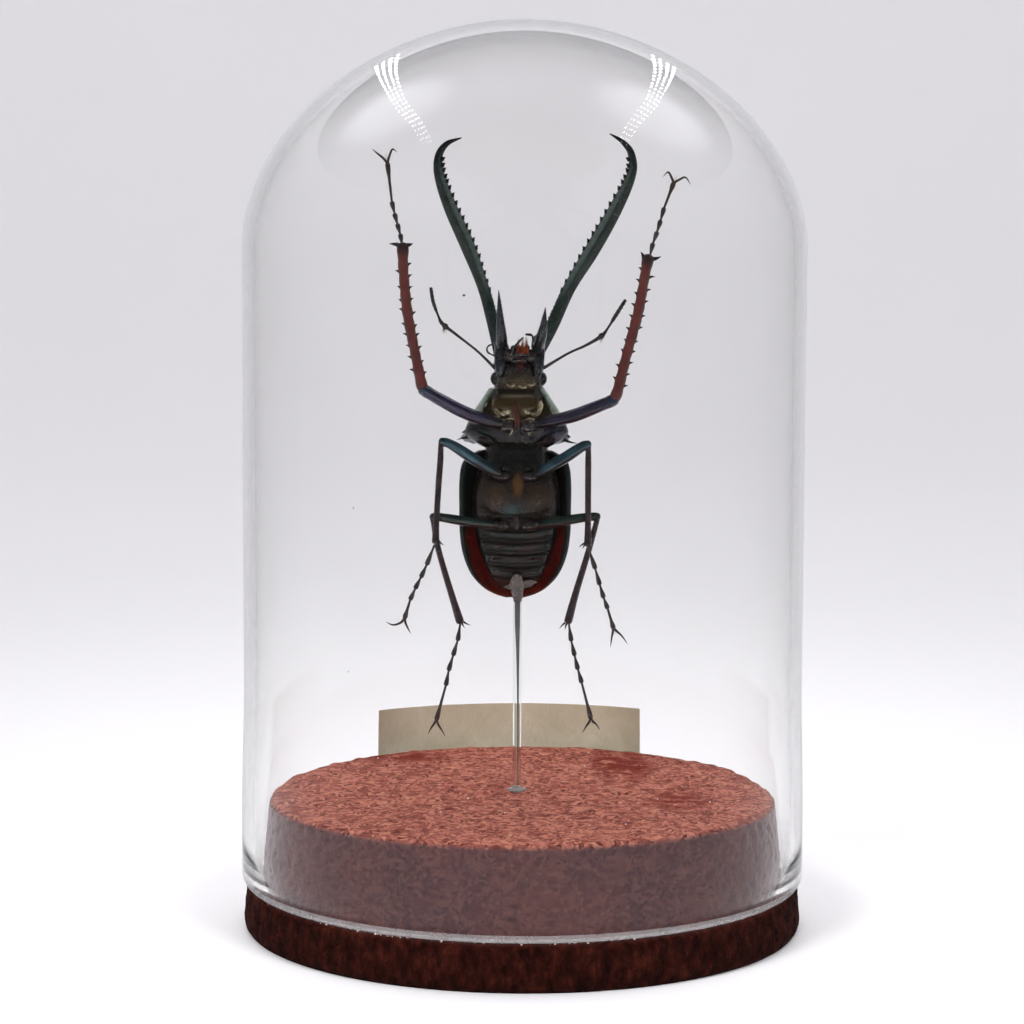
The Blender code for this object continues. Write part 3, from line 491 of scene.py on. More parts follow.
def wing_case_looks():
    """The glossy outside of a wing case, and its dull inside, red where light comes through, with painted
    shade near black on its upper part and a painted red glow low on its rim.
    """
    shell = cuticle("wing_case_brown", (0.03, 0.006, 0.004), (0.10, 0.02, 0.01), 0.2, 0.35)
    shell.tint(shell.mask("tone"), (0.006, 0.014, 0.01))
    case = cuticle("wing_case_red", (0.03, 0.008, 0.003), (0.11, 0.026, 0.009), 0.42, 0.0, coat=0.0)
    height = case.height()
    edge = case.math("ADD", height, case.math("MULTIPLY", case.noise(0.35, 3.0), 0.008))
    # painted shade: above about 75 mm the red inside is turned near black, where no light comes through
    upper = case.range(edge, 0.0725, 0.0775)
    case.tint(case.range(case.noise(0.8, 3.0, 0.6), 0.4, 0.6, 0.75, 0.0), (0.012, 0.004, 0.002))
    case.tint(upper, (0.004, 0.003, 0.0025))
    rim = case.mix(case.noise(0.7), (0.002, 0.004, 0.003), (0.005, 0.010, 0.007))
    # painted glow: the dark rim turns red below about 60 mm, as if lit through from behind
    rim = case.mix(case.range(height, 0.0585, 0.0625, 0.8, 0.0), rim, (0.10, 0.014, 0.007))
    case.tint(case.mask("tone"), rim)
    glow = case.range(case.math("MAXIMUM", upper, case.mask("tone")), 0.0, 1.0, 0.2, 0.0)
    case.set(Specular_IOR_Level=0.08, Subsurface_Weight=glow)
    case.set(Subsurface_Radius=(0.003, 0.0006, 0.0002), Subsurface_Scale=1.0)
    return shell.finish(), case.finish()


def make_looks():
    looks = {row[0]: cuticle(*row[1:]) for row in SKINS}
    looks["jaw"] = jaw_look()
    looks["head"] = head_look()
    looks["thorax"] = thorax_look()
    looks["belly"] = belly_look()
    looks["shell"], looks["case"] = wing_case_looks()
    rear = cuticle("abdomen_olive", (0.004, 0.0045, 0.003), (0.014, 0.016, 0.011), 0.18, 0.5, coat=0.35)
    rear.tint(rear.range(rear.noise(0.35, 3.0), 0.5, 0.75), (0.035, 0.013, 0.008))
    looks["rear"] = rear.finish()
    violet = cuticle("thigh_violet", (0.010, 0.009, 0.016), (0.04, 0.03, 0.085), 0.18, 0.65, coat=0.8)
    violet.tint(violet.mask("tone"), (0.014, 0.035, 0.05))
    looks["violet"] = violet.finish()
    looks["hair"] = speckled(
        "bristle_orange", 1.4, (0.10, 0.016, 0.004), (0.30, 0.06, 0.014), Roughness=0.5, Coat_Weight=0.2)
    looks["fuzz"] = speckled("hair_brown", 2.0, (0.05, 0.025, 0.018), (0.16, 0.09, 0.065), Roughness=0.55)
    looks["veil"] = speckled(
        "pale_membrane", 1.8, (0.35, 0.34, 0.34), (0.62, 0.61, 0.62),
        Roughness=0.4, Transmission_Weight=0.35, IOR=1.4)
    return {name: look.material for name, look in looks.items()}


# Beetle's body

HEAD_RINGS = (
    (102.9, 3.2, 1.6, 1.9), (102.4, 3.9, 2.3, 2.6), (101.6, 4.4, 2.9, 3.3), (100.0, 4.5, 3.3, 3.8),
    (98.2, 4.2, 3.5, 4.0), (96.5, 4.5, 3.5, 4.0),
)
PROTHORAX_RINGS = (
    (96.5, 5.0, 4.0, 3.6), (94.7, 6.2, 4.8, 4.3), (92.9, 7.4, 5.2, 4.7), (91.1, 8.4, 5.3, 4.6),
    (89.6, 9.1, 5.2, 4.3), (88.4, 9.3, 5.0, 4.0), (87.1, 8.2, 4.6, 3.6), (85.9, 5.9, 4.0, 3.2),
)
HIND_THORAX_RINGS = (
    (85.75, 4.6, 2.4, 3.6), (83.6, 5.8, 2.9, 4.7), (81.0, 7.2, 3.4, 5.2), (77.5, 7.8, 3.6, 5.3),
    (72.9, 7.9, 3.7, 4.7),
)
ABDOMEN_RINGS = (
    (73.4, 7.7, 3.8, 4.5), (70.9, 7.5, 3.8, 4.1), (68.5, 7.1, 3.7, 3.6), (66.5, 6.4, 3.5, 3.1),
    (64.2, 5.5, 3.2, 2.4), (62.0, 4.3, 2.6, 1.5), (60.4, 2.8, 1.8, 0.6), (59.8, 0.9, 0.9, 0.2),
)
WING_CASE_RINGS = (
    (85.3, 6.6, 3.6), (84.1, 8.7, 4.3), (82.6, 9.7, 4.8), (79.5, 10.1, 5.3), (75.0, 10.1, 5.5),
    (70.5, 10.0, 5.3), (66.5, 9.4, 4.8), (62.9, 7.9, 3.7), (60.4, 5.6, 2.3), (59.2, 3.4, 1.4),
    (58.7, 1.6, 0.7),
)


def body_rings(rows, count, sides, centre_x, belly=None, back=None):
    """Fine cross-sections through coarse ones, with forms added on the belly and back."""
    table = np.array([(0.0, 0.0, z, half, up, down) for z, half, up, down in rows])
    fine = curve(table, count)
    angles = around(sides)
    rise = np.sin(angles)
    shapes = []
    for _, _, z, half, up, down in fine:
        x = half * np.cos(angles)
        height = np.where(rise > 0.0, up, down)
        y = height * np.sign(rise) * np.abs(rise) ** 0.9
        if belly is not None:
            y = y - belly(x, z) * np.clip(-rise, 0.0, 1.0) ** 0.5
        if back is not None:
            y = y + back(x, z) * np.clip(rise, 0.0, 1.0) ** 0.5
        shapes.append(np.stack([centre_x + x, MARGIN_Y + y, np.full(sides, z)], axis=1))
    return np.array(shapes)


def belly_surface(rows, centre_x, x, z):
    """Where a body's belly side lies at each x and height."""
    table = np.array(rows)[::-1]
    half, down = (np.interp(z, table[:, 0], table[:, i]) for i in (1, 3))
    share = np.clip(1.0 - ((np.asarray(x) - centre_x) / half) ** 2, 0.02, 1.0)
    return MARGIN_Y - down * share**0.45


def ridge(shape, rows, centre_x, points, width, kind, lift=0.1, depth=0.7):
    """A raised curl that lies on the belly side, through (x, z) points."""
    flat = curve([(x, 0.0, z, width) for x, z in points], 40)
    flat[:, 1] = belly_surface(rows, centre_x, flat[:, 0], flat[:, 2]) - lift
    share = np.linspace(-1.0, 1.0, 40)
    flat[:, 3] *= 1.0 - 0.6 * share**4
    shape.loft(tube_rings(rounded(flat), 12, depth), kind)


def build_head(looks):
    def belly(x, z):
        plate = steps_between(2.7 - np.abs(x), 0.0, 0.35) * steps_between(z, 97.4, 98.0) * 0.28
        return plate + relief(
            x, z, (-0.25, 3.1, 99.6, 0.35, 2.4), (0.35, 0.0, 102.1, 2.6, 0.45), (-0.25, 0.0, 101.2, 3.0, 0.3),
            (0.3, 1.35, 100.2, 0.7, 0.7), (-0.3, 0.0, 99.2, 0.5, 1.5),
        )

    def back(x, z):
        return relief(x, z, (0.3, 2.0, 100.5, 1.0, 1.2), (-0.25, 0.0, 100.6, 0.8, 1.6))

    shape = Shape()
    rings = body_rings(HEAD_RINGS, 56, 72, HEAD_X, belly, back)
    shape.loft(rings)
    for side in (-1.0, 1.0):
        ball(shape, (HEAD_X + side * 4.15, MARGIN_Y, 98.15), (0.95, 1.0, 1.15), 1, 18, 24)
        # a rim that half covers each eye
        t = np.linspace(-1.2, 1.2, 18)
        rim = np.stack([
            HEAD_X + side * (4.1 + 0.75 * np.cos(t)), np.full(18, MARGIN_Y - 0.75),
            98.2 + 1.05 * np.sin(t), np.full(18, 0.2),
        ], axis=1)
        shape.loft(tube_rings(rounded(rim), 10, 1.0), 2)
    # the lip and the dark mouth plates between the jaws
    ball(shape, (-0.85, -0.2, 102.9), (2.0, 1.1, 1.3), 4)
    mouth_plates = (
        (-2.7, 102.5, 1.2), (1.2, 102.4, 1.2), (-1.9, 103.7, 0.6),
        (0.5, 103.8, 0.6), (-3.1, 103.9, 0.5), (1.7, 104.0, 0.5),
    )
    for x, z, size in mouth_plates:
        ball(shape, (x, -0.7, z), (size * 0.9, 0.8, size), 4)
    # cheeks in front of the eyes, and the feelers' sockets
    for side in (-1.0, 1.0):
        ball(shape, (HEAD_X + side * 3.9, MARGIN_Y - 1.4, 100.6), (0.7, 0.8, 0.9))
        ball(shape, (HEAD_X + side * 2.6, -0.4, 102.3), (0.9, 0.9, 0.75))
    for x, z in ((-2.3, 97.2), (-0.2, 97.0), (1.2, 97.4)):
        curl = [(x - 0.8, z + 0.1), (x, z - 0.2), (x + 0.8, z + 0.1)]
        ridge(shape, HEAD_RINGS, HEAD_X, curl, 0.3, 3, -0.12)
    shape.cover("head", "head_cuticle", looks, "head", "eye", "lid", "gold", "feeler")


def build_prothorax(looks):
    def belly(x, z):
        side = np.abs(x)
        collar = 0.45 * steps_between(z, 94.9, 95.7) * steps_between(3.9 - side, 0.0, 0.7)
        plate = 0.3 * hump(side, z, (6.6, 88.6), (1.7, 1.0), 4.0)
        return collar + plate + relief(
            x, z, (0.55, 2.6, 93.4, 1.7, 0.8), (0.4, 4.9, 91.9, 1.1, 0.6), (0.35, 0.0, 90.4, 0.55, 2.6),
            (-0.75, 4.6, 94.3, 0.75, 1.5), (-0.6, 2.4, 90.6, 1.3, 0.9), (0.3, 5.9, 93.6, 0.35, 2.4),
        )

    def back(x, z):
        return relief(x, z, (0.35, 0.0, 91.0, 5.0, 3.4), (-0.3, 0.0, 91.0, 0.35, 3.5))

    shape = Shape()
    rings = body_rings(PROTHORAX_RINGS, 84, 96, BODY_X, belly, back)
    offset = np.abs(rings[..., 0] - BODY_X)
    half = offset.max(axis=1, keepdims=True)
    height = rings[..., 2]
    # tone: the front side margins, whose pale green is partly painted reflection, and the back at about half
    # strength
    tone = steps_between(offset / half, 0.8, 0.86) * steps_between(height, 90.2, 91.4)
    tone = np.maximum(tone, steps_between(rings[..., 1], MARGIN_Y + 0.5, MARGIN_Y + 1.5) * 0.45)
    shape.loft(rings, tone=tone.ravel())
    for root, tip, width in (
        ((-9.6, 2.7, 88.9), (-11.2, 3.0, 88.4), 0.5),
        ((-9.2, 3.1, 87.6), (-12.1, 3.4, 87.1), 0.34),
        ((7.1, 2.7, 88.6), (8.5, 3.0, 87.7), 0.5),
        ((6.9, 3.1, 87.4), (9.7, 3.4, 86.6), 0.34),
    ):
        spike(shape, root, tip, width, bend=0.06)
    for side in (-1.0, 1.0):
        # a thin membrane between the hind corner's spines and the waist
        corners = [(9.3, 88.6), (10.1, 87.7), (9.4, 86.9), (7.6, 86.4), (6.6, 87.2)]
        front = [(BODY_X + side * (x - (0.4 if side > 0 else 0.0)), 3.3, z) for x, z in corners]
        rear = [(x, y + 0.12, z) for x, y, z in front]
        count = len(corners)
        faces = [tuple(range(count)), tuple(range(2 * count))[:count - 1:-1]]
        faces += [(i, i + count, (i + 1) % count + count, (i + 1) % count) for i in range(count)]
        shape.add(front + rear, faces, 1)
    curls = (
        ([(-5.3, 94.5), (-5.0, 93.2), (-4.3, 92.2), (-3.4, 92.0)], 0.62),
        ([(-3.9, 93.2), (-3.2, 92.5), (-2.2, 92.6)], 0.55),
        ([(0.0, 93.3), (0.7, 92.5), (1.6, 92.4)], 0.5),
        ([(1.2, 92.2), (2.3, 92.2), (2.9, 93.4), (3.0, 94.3)], 0.55),
        ([
            (-7.0, 91.3), (-5.4, 91.7), (-3.6, 91.0), (-2.2, 91.3),
            (-0.6, 90.8), (0.9, 91.3), (2.6, 91.0), (4.6, 91.5),
        ], 0.2),
        ([(-3.9, 90.4), (-3.0, 90.7), (-2.2, 90.2), (-2.0, 89.2), (-2.5, 88.3)], 0.2),
        ([(2.6, 90.4), (1.6, 90.7), (0.8, 90.2), (0.6, 89.2), (1.1, 88.2)], 0.2),
        ([(-6.6, 94.0), (-7.5, 92.2), (-8.4, 90.7)], 0.16),
        ([(4.1, 94.0), (5.0, 92.2), (5.9, 90.7)], 0.16),
    )
    for points, width in curls:
        ridge(shape, PROTHORAX_RINGS, BODY_X, points, width, 2, -0.05 if width > 0.4 else 0.02, 0.6)
    keel = [(-1.0, 94.6), (-0.9, 92.0), (-0.9, 89.0), (-1.0, 86.6)]
    ridge(shape, PROTHORAX_RINGS, BODY_X, keel, 0.42, 0, 0.15)
    for x, z in ((-3.0, 89.3), (-0.2, 88.0), (1.2, 88.9), (0.4, 86.9), (3.2, 91.3)):
        y = float(belly_surface(PROTHORAX_RINGS, BODY_X, x, z)) - 0.5
        ball(shape, (x, y, z), (0.13, 0.13, 0.17), 2, 6, 8)
    shape.cover("prothorax", "thorax_cuticle", looks, "thorax", "veil", "gold")


def build_hind_body(looks):
    def chest(x, z):
        side = np.abs(x)
        plates = -0.35 * steps_between(side - 0.55 * (z - 79.0), 3.0, 3.5) * steps_between(z, 80.4, 81.2)
        edge = -0.3 * hump(0.0 * x, z, (0.0, 73.8), (1.0, 0.3))
        return plates + edge + relief(
            x, z, (-0.3, 0.0, 78.5, 0.22, 4.2), (-0.22, 2.6, 84.0, 0.3, 1.6), (-0.25, 6.7, 78.0, 0.3, 4.2),
            (0.35, 3.6, 77.2, 2.6, 3.0), (-0.5, 3.0, 81.0, 1.3, 0.8),
        )

    shape = Shape()
    shape.loft(body_rings(HIND_THORAX_RINGS, 72, 84, BODY_X, chest))
    # the dark waist that runs up inside the prothorax
    waist = (
        (88.0, 5.0, 3.0, 3.2), (86.4, 5.6, 3.0, 3.9), (85.0, 5.7, 3.0, 4.3),
        (83.4, 5.9, 3.0, 4.6), (82.2, 5.6, 2.8, 4.2),
    )

    def swell(x, z):
        return relief(x, z, (0.25, 2.6, 85.2, 1.4, 0.7))

    shape.loft(body_rings(waist, 24, 64, BODY_X, swell))
    for side in (-1.0, 1.0):
        ball(shape, (BODY_X + side * 2.2, -1.9, 82.6), (1.3, 0.9, 0.9))
        ball(shape, (BODY_X + side * 3.1, -1.6, 73.9), (2.6, 0.7, 0.6))
    ball(shape, (BODY_X + 0.1, -2.25, 72.7), (0.45, 0.4, 1.2), 1)
    shape.cover("hind_thorax", "belly_cuticle", looks, "belly", "umber")

    seams = (71.0, 68.7, 66.6, 64.3, 62.2)

    def plates(x, z):
        """Each belly plate ends in a rounded lip over the next, and sags between."""
        curved = z - 0.016 * x * x
        height = 0.0 * x
        for seam in seams:
            height = height + 0.3 * bell(curved - seam, 0.42, 0.42)
            height = height - 0.42 * bell(curved, seam, 0.2)
        dents = 0.3 * hump(np.abs(x), z, (3.3, 65.4), (1.0, 0.8))
        dents = dents + 0.3 * hump(x, z, (-4.4, 67.6), (0.8, 0.7))
        return (height - dents) * steps_between(7.6 - np.abs(x), 0.2, 1.4)

    shape = Shape()
    shape.loft(body_rings(ABDOMEN_RINGS, 150, 84, BODY_X, plates))
    shape.cover("abdomen", "belly_cuticle", looks, "rear")


def build_wing_case(looks, name, side):
    """A thin curved shell with fine grooves along it and a folded dark rim."""
    table = np.array([(0.0, 0.0, z, half, rise) for z, half, rise in WING_CASE_RINGS])
    steps = 56
    seam_x, gap = -1.5, 0.15
    angle = np.radians(np.linspace(0.0, 112.0, steps))
    grooves = 0.05 * np.cos(angle * 22.0) * steps_between(angle, 0.1, 0.3)
    # Depth in the shell, order of the points, grooves or none, and where the rim darkens in degrees
    faces = ((0.0, 1, grooves, 72.0, 80.0), (0.4, -1, 0.0 * grooves, 88.0, 93.0))
    shape = Shape()
    rings, tones = [], []
    for _, _, z, half, rise in curve(table, 90):
        ring = []
        for wall, order, groove, low, high in faces:
            x = gap + (half - wall - gap) * np.sin(angle)
            y = MARGIN_Y + (rise - wall + groove) * np.cos(angle)
            ring.append(np.stack([seam_x + side * x, y, np.full(steps, z)], axis=1)[::order])
            tones.append(steps_between(np.degrees(angle), low, high)[::order])
        rings.append(np.concatenate(ring))
    shape.loft(np.array(rings), tone=np.concatenate(tones))
    folded = int(steps * 0.62)
    shape.kinds = [0 if i % (2 * steps) < folded else 1 for i in range(len(shape.kinds))]
    shape.cover(name, "wing_case", looks, "shell", "case", smooth=50.0)


# Jaws, feelers and mouth

JAWS = {
    "left": {
        "blade": (
            (-4.3, 2.5, 102.6, 1.15), (-5.6, 2.6, 108.1, 1.08), (-7.4, 2.4, 114.6, 1.04),
            (-10.3, 1.4, 122.2, 1.32), (-13.3, -0.3, 129.0, 1.2), (-15.1, -2.0, 134.5, 0.93),
            (-15.1, -3.3, 137.7, 0.7), (-13.7, -4.2, 139.7, 0.48), (-11.1, -5.0, 140.7, 0.1),
        ),
        "prong": (
            (-4.0, 1.6, 102.8, 1.05), (-4.0, -1.6, 105.2, 1.0), (-4.3, -3.6, 109.5, 0.6),
            (-4.5, -5.0, 114.1, 0.06),
        ),
        "root": (
            (-4.0, 0.6, 105.6, 0.95), (-4.1, 0.0, 103.0, 1.2), (-4.2, -0.2, 100.8, 1.05),
            (-4.3, 0.0, 99.1, 0.7),
        ),
        "inner": 1.0,
    },
    "right": {
        "blade": (
            (2.3, 2.5, 102.6, 1.2), (5.0, 2.6, 107.7, 1.17), (8.1, 2.5, 114.5, 1.13),
            (12.2, 1.7, 121.4, 1.36), (16.3, 0.0, 128.9, 1.22), (18.9, -2.0, 135.0, 0.82),
            (18.6, -3.3, 138.3, 0.62), (17.0, -4.2, 140.2, 0.42), (14.8, -5.0, 141.5, 0.1),
        ),
        "prong": (
            (2.1, 1.6, 102.8, 1.05), (2.8, -1.6, 105.0, 1.0), (3.4, -3.4, 107.5, 0.7),
            (3.7, -5.0, 111.1, 0.06),
        ),
        "root": (
            (2.5, 0.6, 105.4, 0.95), (2.5, 0.0, 103.0, 1.2), (2.45, -0.2, 100.8, 1.05),
            (2.4, 0.0, 99.1, 0.7),
        ),
        "inner": -1.0,
    },
}
FEELERS = {
    "left": (
        (-5.3, 0.8, 100.2, 0.3), (-8.2, -0.5, 103.1, 0.22), (-12.5, -1.5, 106.5, 0.26),
        (-14.6, -2.0, 108.2, 0.34), (-15.2, -2.1, 109.4, 0.2), (-16.1, -2.4, 111.9, 0.26),
        (-16.5, -2.8, 114.3, 0.24),
    ),
    "right": (
        (3.5, 0.8, 100.2, 0.3), (7.9, -0.5, 102.9, 0.22), (11.1, -1.0, 104.4, 0.26),
        (13.9, -2.0, 106.2, 0.34), (14.8, -2.1, 107.4, 0.2), (16.2, -2.4, 109.7, 0.28),
        (17.8, -2.8, 112.3, 0.25),
    ),
}
PALPS = {
    "outer_left": (
        (-4.3, -1.2, 102.1, 0.2), (-6.4, -1.2, 103.0, 0.17), (-6.5, -1.4, 104.0, 0.17),
        (-5.2, -1.8, 104.7, 0.15),
    ),
    "inner_left": (
        (-2.3, -2.2, 102.5, 0.2), (-2.0, -2.7, 103.6, 0.17), (-1.1, -2.9, 104.8, 0.24),
        (-0.2, -3.0, 105.7, 0.18),
    ),
    "right": (
        (1.4, -2.2, 104.1, 0.16), (1.5, -2.8, 105.9, 0.18), (1.2, -3.0, 106.2, 0.26),
        (0.3, -3.2, 106.3, 0.18),
    ),
}


def build_jaw(looks, side, layout):
    """A blade with a ridge along it, a paler inner slope in painted light, separate teeth and a serrated
    prong.
    """
    inner = layout["inner"]
    route = curve(layout["blade"], 170)
    share = even(len(route))
    sides = 40
    angles = around(sides)
    u = np.cos(angles)
    front = np.clip(np.sin(angles), 0.0, 1.0)
    crest = inner * 0.12
    # two flat slopes that meet in a ridge on the belly side, nearer the inner edge
    roof = np.minimum((1.0 - u) / (1.0 - crest), (1.0 + u) / (1.0 + crest))
    deep = np.where(np.sin(angles) > 0.0, 0.35 * front + 0.7 * roof * front**0.3, 0.8 * np.sin(angles))
    swell = 1.0 - 0.35 * steps_between(share, 0.75, 0.95)[:, None]
    rings = tube_rings(route, sides, across_shape=u, deep_shape=deep * swell)
    # the tone mask marks the inner slope on the belly side, for its painted lighter colour
    strip = steps_between(inner * u, crest * inner + 0.02, crest * inner + 0.12) * (front > 0.0)
    middle = steps_between(share, 0.2, 0.34) * (1.0 - steps_between(share, 0.78, 0.88))
    tone = strip[None, :] * middle[:, None]
    point = 0.85 * steps_between(share, 0.8, 0.93)[:, None]
    black = np.maximum(point, 0.5 * steps_between(np.abs(u), 0.93, 1.0))
    shape = Shape()
    shape.loft(rings, tip=black.ravel(), tone=tone.ravel())
    forward, across, _ = frames(route[:, :3])
    travel = 0.27
    while travel < 0.875:
        i = int(travel * (len(route) - 1))
        way = across[i] * inner
        size = 0.5 if travel > 0.42 else 0.5 - 1.4 * (0.42 - travel)
        root = route[i, :3] + way * route[i, 3] * 0.82 - forward[i] * 0.05
        tip = route[i, :3] + way * (route[i, 3] + size) + forward[i] * 0.42
        spike(shape, root, tip, 0.3 + 0.35 * size, sides=8, bend=-0.08 * inner)
        travel += 0.035 if travel < 0.7 else 0.027
    # a row of fine bumps along the lower inner edge
    for travel in np.arange(0.07, 0.27, 0.016):
        i = int(travel * (len(route) - 1))
        place = route[i, :3] + across[i] * inner * route[i, 3] * 0.95
        ball(shape, place, (0.2, 0.2, 0.22), rows=6, sides=8, tone=0.3)
    count = 60
    prong = curve(layout["prong"], count)
    angles = around(20)
    hollow = 0.7 * np.sin(angles) + 0.25 * np.clip(np.sin(angles), 0.0, 1.0) ** 4
    point = steps_between(even(count), 0.7, 1.0) * 0.8
    shape.loft(tube_rings(prong, 20, deep_shape=hollow), 1, tip=point)
    forward, across, _ = frames(prong[:, :3])
    for travel in np.arange(0.22, 0.86, 0.045):
        i = int(travel * (count - 1))
        way = across[i] * inner
        root = prong[i, :3] + way * prong[i, 3] * 0.8
        tip = prong[i, :3] + way * (prong[i, 3] + 0.17) + forward[i] * 0.12
        spike(shape, root, tip, 0.17, 1, bend=-0.1 * inner)
    # the broad root that runs down beside the head to the eye
    shape.loft(tube_rings(rounded(curve(layout["root"], 30)), 22, 0.8), 1)
    knob = np.array(layout["root"][1][:3]) + np.array([-inner * 0.2, -0.5, 1.2])
    ball(shape, knob, (1.0, 0.7, 0.9), 1)
    shape.cover(f"mandible_{side}", "jaw_cuticle", looks, "jaw", "prong", smooth=35.0)


def build_feeler(looks, side, points):
    """A long slim joint, an elbow with hairs, small beads and a club of leaflets."""
    count = 150
    route = curve(points, count)
    share = even(count)
    beads = (share > 0.66) & (share <= 0.78)
    club = share > 0.78
    width = route[:, 3].copy()
    width[beads] *= 0.85 + 0.3 * np.abs(np.sin(share[beads] * 120.0))
    width[club] *= 1.0 + 0.42 * np.abs(np.sin((share[club] - 0.78) * 75.0))
    width *= 1.0 + 0.75 * bell(share, 0.615, 0.018)
    route[:, 3] = width
    shape = Shape()
    shape.loft(tube_rings(rounded(route), 14, 0.8), tip=0.15)
    elbow = route[int(0.61 * count), :3]
    for _ in range(26):
        root = elbow + np.array([chance.uniform(-0.25, 0.25) for _ in range(3)])
        out = np.array([chance.uniform(-0.5, 0.3), chance.uniform(-0.5, 0.5), chance.uniform(-1.3, -0.5)])
        hair(shape, root, root + out, 0.035, 0.0, 4, 0.12)
    for i in range(118, 149, 2):
        for sign in (-1.0, 1.0):
            root = route[i, :3] + np.array([sign * 0.2, 0.0, 0.0])
            hair(shape, root, root + np.array([sign * 0.17, -0.03, 0.12]), 0.03, 0.3)
    shape.cover(f"antenna_{side}", "leg_cuticle", looks, "feeler", "fuzz")


def build_mouth(looks):
    for name, points in PALPS.items():
        count = 60
        route = curve(points, count)
        share = even(count)
        for joint in (0.33, 0.66):
            route[:, 3] *= 1.0 - 0.35 * bell(share, joint, 0.03)
        shape = Shape()
        shape.loft(tube_rings(rounded(route), 12, 1.0))
        shape.cover(f"palp_{name}", "leg_cuticle", looks, "feeler")
    shape = Shape()
    pad = curve(((-1.8, -1.2, 102.6, 0.3), (-0.4, -1.4, 102.8, 0.55), (1.1, -1.2, 102.6, 0.3)), 16)
    shape.loft(tube_rings(rounded(pad), 12, 0.9), 1)
    tufts = (
        ((-1.0, -1.5), (-1.0, -2.2, 105.6)),
        ((-0.2, -1.7), (-0.3, -2.3, 105.9)),
        ((0.5, -1.5), (0.3, -2.2, 106.2)),
    )
    for (x, y), tip in tufts:
        for _ in range(26):
            root = (x + chance.uniform(-0.3, 0.3), y + chance.uniform(-0.25, 0.25), 102.8)
            short = chance.uniform(0.0, 0.45)
            end = [a + (b - a) * (1.0 - short) for a, b in zip(root, tip)]
            end[0] += chance.uniform(-0.16, 0.16)
            end[1] += chance.uniform(-0.16, 0.16)
            spike(shape, root, end, 0.05, 0, 4, chance.uniform(-0.08, 0.08), 5, 0.0)
    shape.make("mouth_brush_hairs", [looks["hair"], looks["feeler"]], ["mouth_brush"], 60.0)


# Legs

